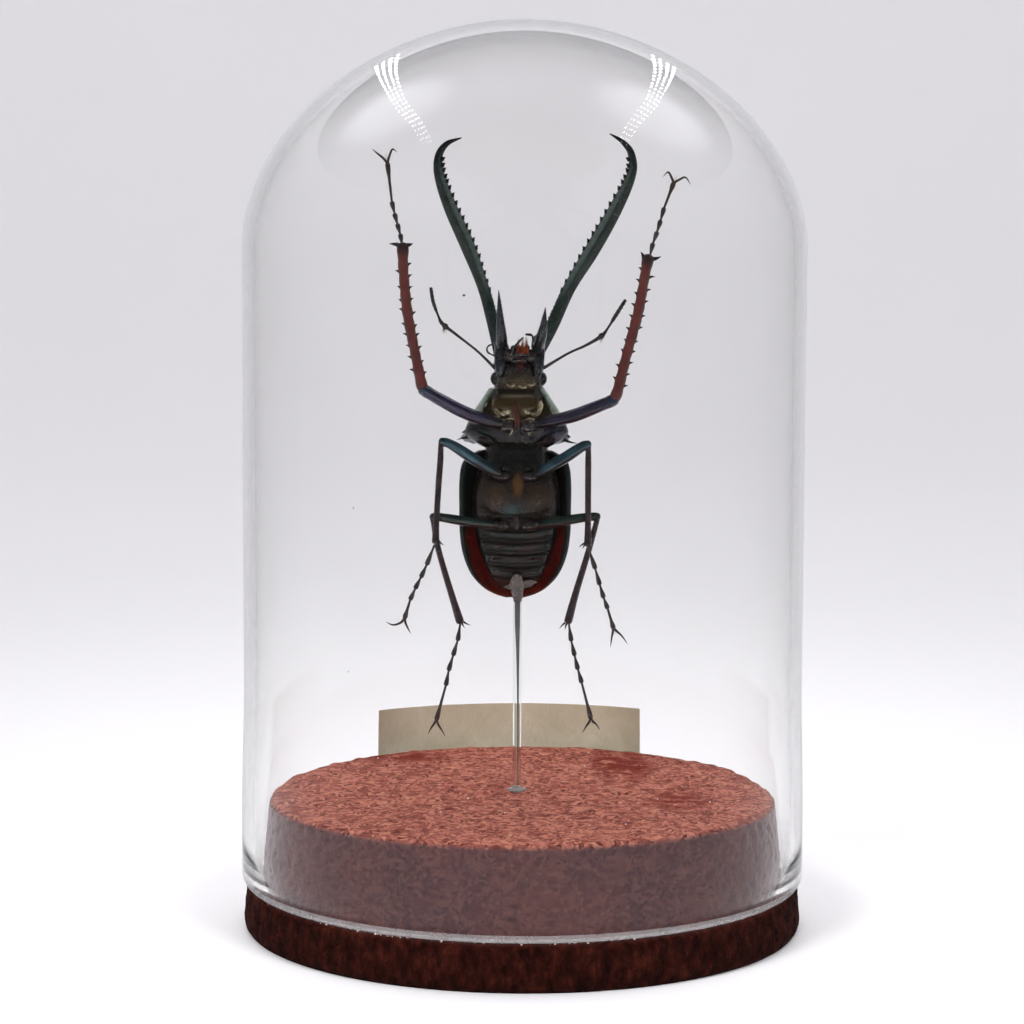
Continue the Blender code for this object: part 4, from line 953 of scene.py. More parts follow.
LEGS = {
    "front_left": {
        "thigh": (
            (-4.4, -3.0, 90.6, 0.95), (-6.0, -3.5, 90.9, 1.05), (-10.4, -4.4, 92.5, 1.18),
            (-14.9, -5.1, 94.9, 1.12), (-17.8, -5.3, 96.6, 1.0),
        ),
        "shin": (
            (-18.2, -5.4, 98.2, 0.62), (-19.1, -5.6, 102.7, 0.88), (-20.5, -6.0, 110.2, 0.92),
            (-21.2, -6.2, 117.9, 0.88), (-21.3, -6.3, 121.6, 1.05),
        ),
        "foot": (
            (-21.4, -6.3, 121.9), (-21.7, -6.2, 123.6), (-22.2, -6.1, 125.4), (-22.7, -6.0, 127.2),
            (-23.2, -5.9, 129.3), (-24.0, -5.6, 136.2),
        ),
        "claws": (
            ((-24.9, -5.7, 137.2), (-25.8, -6.0, 137.9), (-26.6, -6.6, 138.6)),
            ((-23.7, -5.8, 137.3), (-23.1, -6.1, 138.6), (-22.3, -6.7, 138.1)),
        ),
        "spurs": (((-22.1, -6.3, 121.9), (-23.7, -6.3, 122.1)), ((-20.5, -6.3, 121.9), (-19.5, -6.3, 122.2))),
        "coxa": (-2.2, -2.1, 90.0),
    },
    "front_right": {
        "thigh": (
            (2.5, -3.0, 90.6, 0.95), (4.3, -3.5, 90.9, 1.05), (8.7, -4.4, 92.0, 1.18),
            (13.0, -5.1, 93.7, 1.12), (15.9, -5.3, 94.9, 1.0),
        ),
        "shin": (
            (16.5, -5.4, 96.5, 0.62), (18.0, -5.6, 102.7, 0.88), (19.9, -5.9, 110.0, 0.92),
            (21.1, -6.2, 116.8, 0.88), (21.6, -6.3, 119.7, 1.05),
        ),
        "foot": (
            (21.9, -6.3, 120.1), (22.4, -6.2, 122.2), (23.1, -6.1, 124.2), (23.7, -6.0, 126.2),
            (24.3, -5.9, 128.4), (26.0, -5.6, 132.9),
        ),
        "claws": (
            ((25.6, -5.7, 133.9), (25.0, -6.0, 134.8), (24.1, -6.6, 134.0)),
            ((26.8, -5.7, 133.4), (28.0, -6.0, 133.9), (28.9, -6.6, 132.6)),
        ),
        "spurs": (((20.9, -6.3, 119.8), (20.3, -6.3, 120.9)), ((22.3, -6.3, 119.6), (23.9, -6.3, 120.1))),
        "coxa": (-0.2, -2.1, 90.0),
    },
    "middle_left": {
        "thigh": (
            (-4.6, -3.1, 81.7, 0.8), (-5.6, -3.3, 82.2, 0.93), (-9.8, -4.4, 84.9, 1.02),
            (-13.0, -5.3, 87.0, 0.86), (-14.5, -5.6, 87.5, 0.66),
        ),
        "shin": (
            (-14.6, -5.7, 86.6, 0.5), (-14.7, -5.8, 84.1, 0.54), (-15.0, -6.0, 79.9, 0.54),
            (-15.4, -6.4, 72.5, 0.54), (-15.5, -6.5, 69.9, 0.68),
        ),
        "foot": (
            (-15.7, -6.5, 69.2), (-17.0, -6.6, 65.8), (-18.0, -6.6, 63.6), (-19.0, -6.7, 61.6),
            (-19.9, -6.7, 59.6), (-20.9, -6.8, 56.3),
        ),
        "claws": (
            ((-21.6, -6.9, 55.4), (-23.0, -7.1, 55.0), (-24.2, -7.6, 55.6)),
            ((-20.8, -6.9, 55.4), (-20.4, -7.1, 54.5), (-19.8, -7.5, 53.5)),
        ),
        "spurs": (((-14.9, -6.6, 69.9), (-14.0, -7.0, 69.2)), ((-15.1, -6.9, 69.8), (-14.6, -7.6, 69.0))),
        "coxa": (-3.0, -2.4, 81.0),
    },
    "middle_right": {
        "thigh": (
            (2.2, -3.1, 81.6, 0.8), (3.3, -3.3, 82.1, 0.93), (7.2, -4.4, 84.5, 1.02),
            (10.3, -5.3, 86.6, 0.9), (11.4, -5.6, 87.1, 0.68),
        ),
        "shin": (
            (11.4, -5.7, 86.1, 0.5), (11.4, -5.8, 83.9, 0.54), (11.4, -6.0, 80.0, 0.54),
            (11.4, -6.4, 72.6, 0.54), (11.4, -6.5, 69.5, 0.68),
        ),
        "foot": (
            (11.5, -6.5, 68.8), (12.7, -6.6, 65.2), (13.5, -6.6, 62.4), (14.2, -6.7, 60.1),
            (14.9, -6.7, 58.2), (16.0, -6.8, 54.6),
        ),
        "claws": (
            ((15.9, -6.9, 53.8), (15.7, -7.1, 52.8), (15.5, -7.5, 51.2)),
            ((16.6, -6.9, 54.0), (17.5, -7.1, 53.2), (18.5, -7.5, 51.8)),
        ),
        "spurs": (((10.8, -6.6, 69.6), (9.8, -7.0, 68.9)), ((11.0, -6.9, 69.5), (10.4, -7.6, 68.7))),
        "coxa": (0.4, -2.4, 81.0),
    },
    "hind_left": {
        "thigh": (
            (-4.6, -2.65, 72.4, 0.66), (-6.7, -2.7, 72.6, 0.74), (-10.8, -2.7, 73.1, 0.87),
            (-14.5, -2.8, 73.7, 0.78), (-16.2, -2.8, 73.8, 0.66),
        ),
        "shin": (
            (-16.0, -2.9, 72.8, 0.5), (-15.5, -2.9, 69.6, 0.52), (-14.5, -3.0, 65.7, 0.54),
            (-12.4, -3.3, 58.8, 0.62), (-11.3, -3.4, 55.3, 0.76),
        ),
        "foot": (
            (-11.2, -3.4, 54.7), (-11.6, -3.5, 51.9), (-12.4, -3.5, 49.2), (-13.2, -3.6, 46.5),
            (-13.7, -3.7, 43.8), (-15.4, -3.8, 37.5),
        ),
        "claws": (
            ((-15.8, -3.9, 36.8), (-16.3, -4.1, 36.1), (-16.9, -4.5, 35.0)),
            ((-15.1, -3.9, 36.7), (-14.6, -4.1, 35.9), (-13.8, -4.5, 34.6)),
        ),
        "spurs": (((-10.6, -3.5, 55.1), (-9.3, -3.6, 54.5)), ((-10.9, -3.9, 55.0), (-10.3, -4.6, 54.1))),
        "coxa": (-3.0, -2.2, 72.2),
    },
    "hind_right": {
        "thigh": (
            (2.0, -2.65, 72.4, 0.66), (4.0, -2.7, 72.7, 0.74), (7.8, -2.7, 73.3, 0.87),
            (11.5, -2.8, 73.9, 0.78), (13.2, -2.8, 74.0, 0.66),
        ),
        "shin": (
            (13.0, -2.9, 73.0, 0.5), (12.3, -2.9, 70.3, 0.52), (11.3, -3.0, 66.7, 0.54),
            (9.3, -3.3, 60.0, 0.62), (8.1, -3.4, 55.4, 0.76),
        ),
        "foot": (
            (8.2, -3.4, 54.8), (8.6, -3.5, 51.9), (9.2, -3.5, 49.3), (9.8, -3.6, 46.8), (10.5, -3.7, 44.4),
            (12.2, -3.8, 37.9),
        ),
        "claws": (
            ((11.9, -3.9, 37.2), (11.4, -4.1, 36.5), (10.7, -4.5, 35.3)),
            ((12.6, -3.9, 37.3), (13.1, -4.1, 36.9), (13.8, -4.5, 35.9)),
        ),
        "spurs": (((7.5, -3.5, 55.0), (6.5, -3.6, 53.9)), ((7.8, -3.9, 54.9), (7.5, -4.6, 53.9))),
        "coxa": (0.4, -2.2, 72.2),
    },
}


def build_leg(looks, name, layout):
    front = name.startswith("front")
    thigh_look = "violet" if front else "teal" if name.startswith("middle") else "leaf"
    thigh_slot = "front_thigh_cuticle" if front else "thigh_cuticle"
    side = -1.0 if name.endswith("left") else 1.0

    route = curve(layout["thigh"], 70)
    share = even(70)
    route[:, 3] *= 1.0 + 0.1 * bell(share, 0.95, 0.04)
    sides = 24
    angles = around(sides)
    keel = 0.85 * np.sin(angles) + 0.13 * bell(angles, 1.2, 0.25)
    thigh = Shape()
    route = rounded(route)
    share = even(len(route))
    # painted shade: the thigh fades to black towards its root, where it meets the body
    root = 1.0 - steps_between(share, 0.06, 0.3)
    thigh.loft(tube_rings(route, sides, deep_shape=keel), tip=root, tone=steps_between(share, 0.8, 1.0))
    x, y, z = layout["coxa"]
    ball(thigh, (x + side * 0.8, y, z), (1.25, 1.0, 1.2) if front else (1.4, 0.8, 0.8), 2, 14, 20)
    ball(thigh, (x + side * 1.9, y - 0.65, z + 0.3), (0.62, 0.5, 0.6), 2, 10, 16)
    for i in range(14):
        j = 12 + i * 4
        root = route[j, :3] + np.array([0.0, -0.1, -route[j, 3] * 0.9])
        hair(thigh, root, root + np.array([side * 0.15, -0.15, -0.32]), 0.03, 0.2, bend=0.1)
    thigh.cover(f"{name}_femur", thigh_slot, looks, thigh_look, "fuzz", "feeler")

    end, first = np.array(layout["thigh"][-1]), np.array(layout["shin"][0])
    wide = 1.0 if front else first[3]
    inside = np.r_[end[:3] + (first[:3] - end[:3]) * 0.25, wide]
    count = 110
    route = curve([inside, (*first[:3], wide * 0.98), *layout["shin"][1:]], count)
    share = even(count)
    shin = Shape()
    black = steps_between(share, 0.93, 0.99) * 0.85 if front else steps_between(share, 0.95, 1.0) * 0.5
    if front:
        route[:, 3] *= 1.0 + 0.05 * np.sin(share * 60.0)
    angles = around(20)
    ribs = 0.82 * np.sin(angles) + 0.1 * np.cos(angles * 3.0) ** 2 * np.sin(angles)
    shin.loft(tube_rings(rounded(route), 20, deep_shape=ribs), tip=over_ends(black))
    forward, across, deep = frames(route[:, :3])
    if front:
        for row, start in ((1.0, 0.1), (-1.0, 0.13)):
            travel = start
            while travel < 0.93:
                i = int(travel * (count - 1))
                way = across[i] * row
                long = chance.uniform(0.42, 0.66) * (1.35 if travel > 0.86 and row * side > 0 else 1.0)
                root = route[i, :3] + way * route[i, 3] * 0.8
                tip = route[i, :3] + way * (route[i, 3] + long) + forward[i] * 0.3
                spike(shin, root, tip, 0.3, 0, 8, -0.1 * row)
                travel += chance.uniform(0.07, 0.105)
        for travel in np.arange(0.15, 0.9, 0.11):
            i = int(travel * (count - 1))
            root = route[i, :3] + deep[i] * route[i, 3] * 0.7
            spike(shin, root, root + deep[i] * 0.28 + forward[i] * 0.2, 0.13, 0, 6, 0.0, 4, 0.7)
    else:
        for travel in np.arange(0.12, 0.95, 0.045):
            i = int(travel * (count - 1))
            for row in (-1.0, 1.0):
                root = route[i, :3] + across[i] * row * route[i, 3] * 0.9
                hair(shin, root, root + across[i] * row * 0.16 + forward[i] * 0.34, 0.035, 0.4)
    for root, tip in layout["spurs"]:
        spike(shin, root, tip, 0.42 if front else 0.2, 0, 8, 0.05)
    end = route[-1, :3]
    for _ in range(14):
        a = chance.uniform(0.0, 2.0 * math.pi)
        out = across[-1] * math.cos(a) + deep[-1] * math.sin(a)
        root = end + out * route[-1, 3] * 0.75
        hair(shin, root, root + forward[-1] * 0.55 + out * 0.14, 0.045, 0.5)
    slot = "front_shin_cuticle" if front else "leg_cuticle"
    shin.cover(f"{name}_tibia", slot, looks, "brick" if front else "umber", "fuzz")

    foot = Shape()
    joints = np.array(layout["foot"], float)
    for i in range(5):
        here, there = joints[i], joints[i + 1]
        last = i == 4
        t = even(26)
        flare = 0.2 + 0.24 * steps_between(t, 0.1, 0.9) ** 1.3
        if last:
            flare = 0.2 + 0.1 * t + 0.16 * steps_between(t, 0.6, 0.92)
        places = here + (there - here) * (0.03 + 0.94 * t)[:, None]
        black = 0.5 * steps_between(t, 0.6, 1.0) if not last else 0.0 * t
        rings = tube_rings(rounded(np.hstack([places, flare[:, None]])), 14, 0.85)
        foot.loft(rings, 3 if last else 0, tip=over_ends(black))
        ball(foot, here + (there - here) * 0.01, (0.15, 0.15, 0.15), 2, 8, 10)
        if not last:
            way = (there - here) / np.linalg.norm(there - here)
            side_way = np.cross(way, BELLY)
            side_way /= np.linalg.norm(side_way)
            for sign in (-1.0, 1.0):
                root = here + (there - here) * 0.9 + side_way * sign * 0.28
                spike(foot, root, root + way * 0.42 + side_way * sign * 0.2, 0.07, 0, 5, 0.0, 4)
                hair(foot, root, root + way * 0.3 + side_way * sign * 0.1 + 0.2 * BELLY, 0.04, 0.3)
    for a, b, c in layout["claws"]:
        start = joints[-1] + (np.array(a) - joints[-1]) * 0.1
        claw = curve([(*start, 0.24), (*a, 0.22), (*b, 0.16), (*c, 0.03)], 26)
        foot.loft(tube_rings(claw, 12, 0.9), 3, tip=steps_between(even(26), 0.5, 0.9))
    middle = 0.5 * (np.array(layout["claws"][0][1]) + np.array(layout["claws"][1][1]))
    for shift in (-0.12, 0.12):
        tip = joints[-1] + (middle - joints[-1]) * 0.95 + np.array([shift * 1.6, 0.0, 0.0])
        hair(foot, joints[-1] + np.array([shift * 0.4, -0.1, 0.0]), tip, 0.045, 0.2, 4)
    foot.cover(f"{name}_tarsus", "leg_cuticle", looks, "foot", "fuzz", "joint", "claw")


# Stand, dome, rod, glue and label


def turned_rings(profile, sides):
    """Rings of a turned shape from (radius, height) rows."""
    angles = around(sides)
    ways = np.stack([np.cos(angles), np.sin(angles), np.zeros(sides)], axis=1)
    return np.array([ways * r + np.array([0.0, 0.0, z]) for r, z in profile])


def dense(profile, gap):
    """Extra points along a profile so that none are further apart than the gap."""
    out = [np.array(profile[0], float)]
    for a, b in zip(profile, profile[1:]):
        a, b = np.array(a, float), np.array(b, float)
        count = max(1, int(math.ceil(np.linalg.norm(b - a) / gap)))
        out += [a + (b - a) * (i + 1) / count for i in range(count)]
    return out


def cork_look(name, sheen):
    """Pressed grains, stained red on top, greyer on the plug's side, and painted shade that makes the flange
    dark.
    """
    look = Look(name, Specular_IOR_Level=0.15, Sheen_Weight=sheen, Sheen_Roughness=0.35)
    look.set(Sheen_Tint=(1.0, 0.93, 0.96))
    sway = {
        0: look.math("MULTIPLY", look.noise(0.25, 1.0, 0.6), 0.004),
        1: look.math("MULTIPLY", look.noise(0.3, 1.0), 0.004),
        2: 0.0,
    }
    shift = look.add("CombineXYZ", sway).outputs[0]
    bent = look.add("VectorMath", {0: look.place, 1: shift}, operation="ADD").outputs[0]
    grain = look.add("SeparateColor", {0: look.cells(0.62, "Color", bent)}).outputs[0]
    small = look.add("SeparateColor", {0: look.cells(1.7, "Color", bent)}).outputs[1]
    seams = look.cells(0.62, "Distance", bent, "DISTANCE_TO_EDGE")
    crumbs = look.noise(1.9, 4.0, 0.7, place=look.stretched(1.0, 0.55, 1.0))
    look.colour = look.ramp(
        grain, (0.0, (0.16, 0.038, 0.026)), (0.35, (0.22, 0.058, 0.042)),
        (0.65, (0.28, 0.082, 0.06)), (0.95, (0.36, 0.125, 0.095)),
    )
    look.tint(look.range(small, 0.62, 0.95), (0.42, 0.17, 0.11))
    look.tint(look.range(small, 0.3, 0.05), (0.085, 0.014, 0.01))
    look.tint(look.range(crumbs, 0.58, 0.74, 0.0, 0.5), (0.45, 0.2, 0.145))
    look.tint(look.range(look.noise(1.6, 3.0, 0.6), 0.6, 0.7, 0.0, 0.7), (0.07, 0.013, 0.011))
    look.tint(look.range(seams, 0.0, 0.04, 0.3, 0.0), (0.08, 0.016, 0.013))
    # Deeper red stains on the top
    stain = look.spot((-24.0, 33.0, STAND_TOP), (16.0, 9.0, 5.0), 0.8)
    band = look.spot((19.0, 27.0, STAND_TOP), (9.0, 24.0, 5.0), 0.7)
    patch = look.spot((28.0, -8.0, STAND_TOP), (8.0, 11.0, 5.0), 0.7)
    stain = look.math("MAXIMUM", stain, look.math("MAXIMUM", band, patch))
    stain = look.math("MULTIPLY", stain, look.range(look.noise(0.3, 4.0), 0.38, 0.52))
    look.tint(look.math("MULTIPLY", stain, 0.95), (0.12, 0.011, 0.006))
    side = look.range(look.height(), 0.0228, 0.0238, 1.0, 0.0)
    look.tint(look.math("MULTIPLY", side, 0.84), (0.058, 0.037, 0.042))
    look.tint(look.range(look.noise(0.08, 2.0), 0.35, 0.65, 0.0, 0.07), (0.3, 0.09, 0.06))
    # painted shade: the flange, part of the same cork as the plug, is given a far darker colour
    flange = look.ramp(
        look.noise(0.7, 4.0, 0.65, place=look.stretched(1.0, 1.0, 0.5)),
        (0.34, (0.010, 0.0018, 0.001)), (0.5, (0.026, 0.0042, 0.0022)),
        (0.62, (0.046, 0.0082, 0.0045)), (0.8, (0.11, 0.026, 0.011)),
    )
    look.tint(look.range(look.height(), 0.0075, 0.0092, 1.0, 0.0), flange)
    lumps = look.math("MULTIPLY", look.range(seams, 0.0, 0.09), 0.7)
    lumps = look.math("ADD", lumps, look.noise(2.2, 2.0, 0.7))
    look.set(
        Base_Color=look.colour,
        Roughness=look.range(crumbs, 0.3, 0.7, 0.72, 0.95),
        Normal=look.bump(lumps, 0.15 if sheen else 0.5, 0.3),
    )
    return look.material


def build_stand():
    """The stepped stand, with a rough side, a chipped upper edge and a second look on the plug."""
    sides = 420
    plug_radius = 44.9
    profile = (
        (49.5, 0.0), (50.05, 0.7), (50.2, 2.1), (49.75, 7.3), (49.1, FLANGE_TOP), (47.3, FLANGE_TOP),
        (45.6, 23.3), (plug_radius, STAND_TOP),
    )
    top = [(plug_radius * (1.0 - i / 60.0) + 0.02, STAND_TOP) for i in range(1, 61)]
    rows = [(0.02, 0.0), *dense(profile, 0.4), *top]
    rings = turned_rings(rows, sides)
    flat = rings.reshape(-1, 3)
    radius = np.hypot(flat[:, 0], flat[:, 1])
    height = flat[:, 2]
    coarse, fine = rough(flat, 0.55), rough(flat, 1.9, 5.0)
    pits = np.clip(rough(flat, 1.1, 9.0) - 0.28, 0.0, 1.0)
    outer = (radius > 45.0) & (height > 0.15)
    dent = np.where(outer, 0.1 + 0.13 * coarse + 0.09 * fine + 1.1 * pits, 0.0)
    shrink = 1.0 - np.clip(dent, 0.0, 0.75) / np.maximum(radius, 1.0)
    flat[:, :2] *= shrink[:, None]
    sunk = np.clip(0.1 + 0.09 * coarse + 0.07 * fine + 0.5 * pits, 0.0, 0.5)
    flat[:, 2] -= np.where(height > 23.9, sunk, 0.0)
    edge = bell(radius, 45.1, 0.7) * (height > 22.8)
    flat[:, 2] -= edge * np.clip(0.25 + 0.6 * rough(flat, 0.35, 3.0), 0.0, 0.8)
    shape = Shape()
    shape.loft(flat.reshape(rings.shape))
    level = [0 if z < 8.1 or z > 23.2 else 1 for _, z in rows]
    shape.kinds = [level[i // sides] for i in range(sides * (len(rows) - 1))] + [0, 0]
    looks = [cork_look("cork_stained", 0.0), cork_look("cork_side", 0.5)]
    shape.make("cork_stand_body", looks, ["cork_stand"], 0.0)


def dome_radius(height):
    """The glass's outer radius below its shoulder: it flares a little towards its foot."""
    return DOME_RADIUS + DOME_FLARE * float(steps_between(45.0 - height, 0.0, 25.0))


def glass_look(name, tint=(0.985, 0.985, 0.985), ior=1.46):
    look = Look(name, Transmission_Weight=1.0, IOR=ior, Specular_Tint=(0.3, 0.3, 0.3))
    smear = look.noise(0.035, 2.0, 0.6)
    look.set(
        Base_Color=look.mix(look.range(smear, 0.3, 0.7), tint, tuple(c * 0.985 for c in tint)),
        Roughness=look.range(smear, 0.62, 0.85, 0.0, 0.02),
        Normal=look.bump(look.noise(0.012, 0.0), 0.12, 0.6),
    )
    return look.material


def build_dome():
    """A blown shell: outside from the crown down, a bead at its foot, and the inside back up."""
    sides = 180
    turns = np.radians(np.linspace(0.2, 90.0, 60))
    power = 2.0 / CROWN_FULLNESS
    outer, inner = (
        [(r * math.sin(a) ** power, DOME_SHOULDER + rise * max(math.cos(a), 0.0) ** power) for a in turns]
        for r, rise in ((DOME_RADIUS, CROWN_HEIGHT), (DOME_RADIUS - DOME_WALL, CROWN_HEIGHT - DOME_WALL))
    )
    heights = np.linspace(118.0, 14.0, 53)
    side = [(dome_radius(z), z) for z in heights]
    inside = [(dome_radius(z) - DOME_WALL, z) for z in heights[::-1]]
    # the foot is fire polished into a bead a little thicker than the wall
    half, drop = 1.35, 1.7
    middle = dome_radius(8.3) - half
    bead = [
        (middle + half * math.cos(a), 10.0 - drop * math.sin(a))
        for a in np.radians(np.linspace(-10.0, 190.0, 22))
    ]
    profile = outer + side + bead + inside + inner[::-1]
    shape = Shape()
    shape.loft(turned_rings(profile, sides), caps=False)
    # painted highlight: the lower faces of the fire-polished bead get a whitish, frosted look that stands in
    # for the bright line of light refracted through it
    first = len(outer) + len(side) + 4
    painted_glint_rings = range(first, first + 14)
    shape.kinds = [1 if i // sides in painted_glint_rings else 0 for i in range(len(shape.kinds))]
    # close the two poles
    last = (len(profile) - 1) * sides
    shape.faces.append(list(range(sides))[::-1])
    shape.faces.append(list(range(last, last + sides)))
    shape.kinds += [0, 0]
    rim = speckled("glass_foot_painted_glint", 0.5, (0.82, 0.82, 0.82), (0.96, 0.96, 0.96), Transmission_Weight=0.8)
    rim.set(IOR=1.46, Roughness=rim.range(rim.noise(0.4, 2.0), 0.3, 0.7, 0.2, 0.34))
    looks = [glass_look("clear_glass"), rim.material]
    dome = shape.make("glass_dome_blown", looks, ["glass_dome"], 0.0)
    dome.visible_shadow = False
    dome.visible_diffuse = False


def build_rod():
    """A clear rod with a dark core that thins out downwards."""
    shape = Shape()
    rows = [
        (0.62, 23.2), (ROD_RADIUS, 23.4),
        *((ROD_RADIUS, z) for z in np.linspace(STAND_TOP, 61.9, 40)),
        (0.6, 62.2), (0.1, ROD_TOP),
    ]
    shape.loft(turned_rings(rows, 32) + np.array([ROD_X, 0.0, 0.0]))
    core = (
        (0.0, 61.9, 0.36), (0.0, 55.0, 0.33), (0.06, 49.0, 0.2),
        (0.1, 41.0, 0.11), (0.12, 32.0, 0.08), (0.12, 24.6, 0.05),
    )
    core = curve([(ROD_X + x, 0.0, z, width) for x, z, width in core], 50)
    shape.loft(tube_rings(rounded(core), 12, 1.0), 1)
    dark = speckled("rod_core", 0.3, (0.06, 0.06, 0.062), (0.16, 0.155, 0.155), Metallic=0.3, Roughness=0.35)
    looks = [glass_look("clear_rod", (0.93, 0.95, 0.95), 1.49), dark.material]
    rod = shape.make("support_rod_clear", looks, ["support_rod"], 40.0)
    rod.visible_shadow = False
    rod.visible_diffuse = False


def glue_look(name, tint, clear):
    look = Look(name, Transmission_Weight=clear, IOR=1.44, Specular_Tint=(0.5, 0.5, 0.5))
    cloud = look.noise(0.9, 4.0, 0.6)
    look.set(
        Base_Color=look.ramp(cloud, (0.3, tuple(c * 0.8 for c in tint)), (0.7, tint)),
        Roughness=look.range(cloud, 0.3, 0.7, 0.16, 0.42),
        Normal=look.bump(look.noise(1.1, 2.0, 0.5), 0.2, 0.1),
    )
    return look.material


def blob(name, balls, look, node):
    """Lumps melted into one form."""
    shape = Shape()
    for centre, size in balls:
        ball(shape, centre, size, rows=16, sides=24)
    piece = shape.make(name, [look], [node], 0.0)
    remesh = piece.modifiers.new("melt", "REMESH")
    remesh.mode = "VOXEL"
    remesh.voxel_size = 0.12 * MM
    remesh.use_smooth_shade = True
    ease = piece.modifiers.new("ease", "SMOOTH")
    ease.iterations = 14


def build_glue():
    blob("belly_glue_drop", (
        ((-1.1, -0.05, 61.2), (1.3, 1.05, 2.1)),
        ((-1.0, 0.0, 59.6), (1.0, 0.98, 1.5)),
        ((-1.3, 0.7, 60.9), (1.7, 0.4, 0.7)),
        ((-2.1, 0.85, 60.8), (1.5, 0.34, 0.4)),
        ((0.3, 0.75, 61.2), (1.5, 0.4, 0.5)),
        ((1.2, 0.9, 61.7), (1.4, 0.34, 0.4)),
    ), glue_look("glue_clouded", (0.62, 0.54, 0.51), 0.85), "belly_glue")
    ring = []
    for a in around(14):
        reach = 1.15 + 0.2 * math.sin(3.0 * a)
        ring.append(((ROD_X + reach * math.cos(a), reach * math.sin(a), 24.05), (0.6, 0.6, 0.34)))
    ring.append(((ROD_X, 0.0, 24.3), (0.95, 0.95, 0.6)))
    blob("rod_foot_glue_ring", ring, glue_look("glue_foot", (0.82, 0.76, 0.74), 0.8), "rod_foot_glue")


def build_label():
    """A thin sheet that follows the back of the glass, a little wavy."""
    first, last = math.radians(LABEL_FROM), math.radians(LABEL_TO)
    columns, rows = 90, 16
    rings = []
    for i in range(columns + 1):
        angle = first + (last - first) * i / columns
        curl = 0.12 * (abs(2.0 * i / columns - 1.0) ** 8)
        wave = 0.05 * math.sin(angle * 23.0)
        ring = []
        for lift, order in ((0.05, 1), (0.2, -1)):
            for z in [LABEL_FOOT + LABEL_HEIGHT * j / rows for j in range(rows + 1)][::order]:
                edge = 0.04 * noise.noise(Vector((i * 0.4, z, lift)))
                radius = dome_radius(z) + min(lift + curl * 0.1 + wave * 0.3, 0.24)
                ring.append((radius * math.sin(angle), radius * math.cos(angle), z + edge))
        rings.append(ring)
    shape = Shape()
    shape.loft(np.array(rings))
    look = Look("paper_aged", Roughness=0.82, Sheen_Weight=0.1)
    stains = look.noise(0.12, 4.0, 0.6, 0.5)
    look.colour = look.ramp(stains, (0.3, (0.50, 0.44, 0.31)), (0.7, (0.66, 0.59, 0.46)))
    fibres = look.noise(3.5, 4.0, 0.7, place=look.stretched(1.0, 1.0, 0.3))
    look.tint(look.range(fibres, 0.35, 0.75, 0.0, 0.35), (0.38, 0.32, 0.2))
    look.set(Base_Color=look.colour, Normal=look.bump(look.noise(4.0, 5.0, 0.7), 0.25, 0.03))
    shape.make("paper_label_sheet", [look.material], ["paper_label"], 60.0)


def crumb(shape, place, size, kind=0):
    """An irregular fleck."""
    angles = around(6)
    rings = []
    for a in (-70.0, -25.0, 25.0, 70.0):
        t = math.radians(a)
        wobble = np.array([chance.uniform(0.6, 1.1) for _ in range(6)])
        rings.append(np.stack([
            np.cos(angles) * math.cos(t) * wobble, np.sin(angles) * math.cos(t) * wobble,
            np.full(6, math.sin(t)) * 0.7,
        ], axis=1))
    shape.loft(np.array(rings) * size + np.array(place), kind)


def build_dust():
    """Cork crumbs and specks of dust caught round the foot of the glass, and a few on it."""
    pale = speckled("crumb_pale", 1.3, (0.45, 0.36, 0.3), (0.75, 0.7, 0.66), Roughness=0.85)
    rust = speckled("crumb_rust", 1.3, (0.12, 0.03, 0.02), (0.3, 0.1, 0.07), Roughness=0.9)
    fleck = speckled("dust_grey", 2.0, (0.08, 0.08, 0.09), (0.2, 0.19, 0.2), Roughness=0.9)
    shape = Shape()
    for _ in range(150):
        a = chance.uniform(0.0, 2.0 * math.pi)
        if chance.random() < 0.5:
            a = math.radians(chance.choice((-115.0, -78.0)) + chance.gauss(0.0, 7.0))
        reach = chance.uniform(47.9, 49.2)
        size = chance.uniform(0.08, 0.24)
        kind = 0 if chance.random() < 0.55 else 1
        crumb(shape, (reach * math.cos(a), reach * math.sin(a), 8.0 + size * 0.4), size, kind)
    for _ in range(170):
        a, reach = chance.uniform(0.0, 2.0 * math.pi), 44.0 * math.sqrt(chance.random())
        size = chance.uniform(0.07, 0.2)
        kind = 0 if chance.random() < 0.12 else 1
        crumb(shape, (reach * math.cos(a), reach * math.sin(a), 23.95 + size * 0.2), size, kind)
    for x, z, size in ((-9.6, 113.9, 0.3), (-27.5, 78.8, 0.16), (-28.4, 51.5, 0.16), (22.0, 97.0, 0.1)):
        y = -math.sqrt(47.6**2 - x * x)
        crumb(shape, (x, y, z), size, 2)
    shape.make("crumbs_and_dust", [pale.material, rust.material, fleck.material])


# Studio


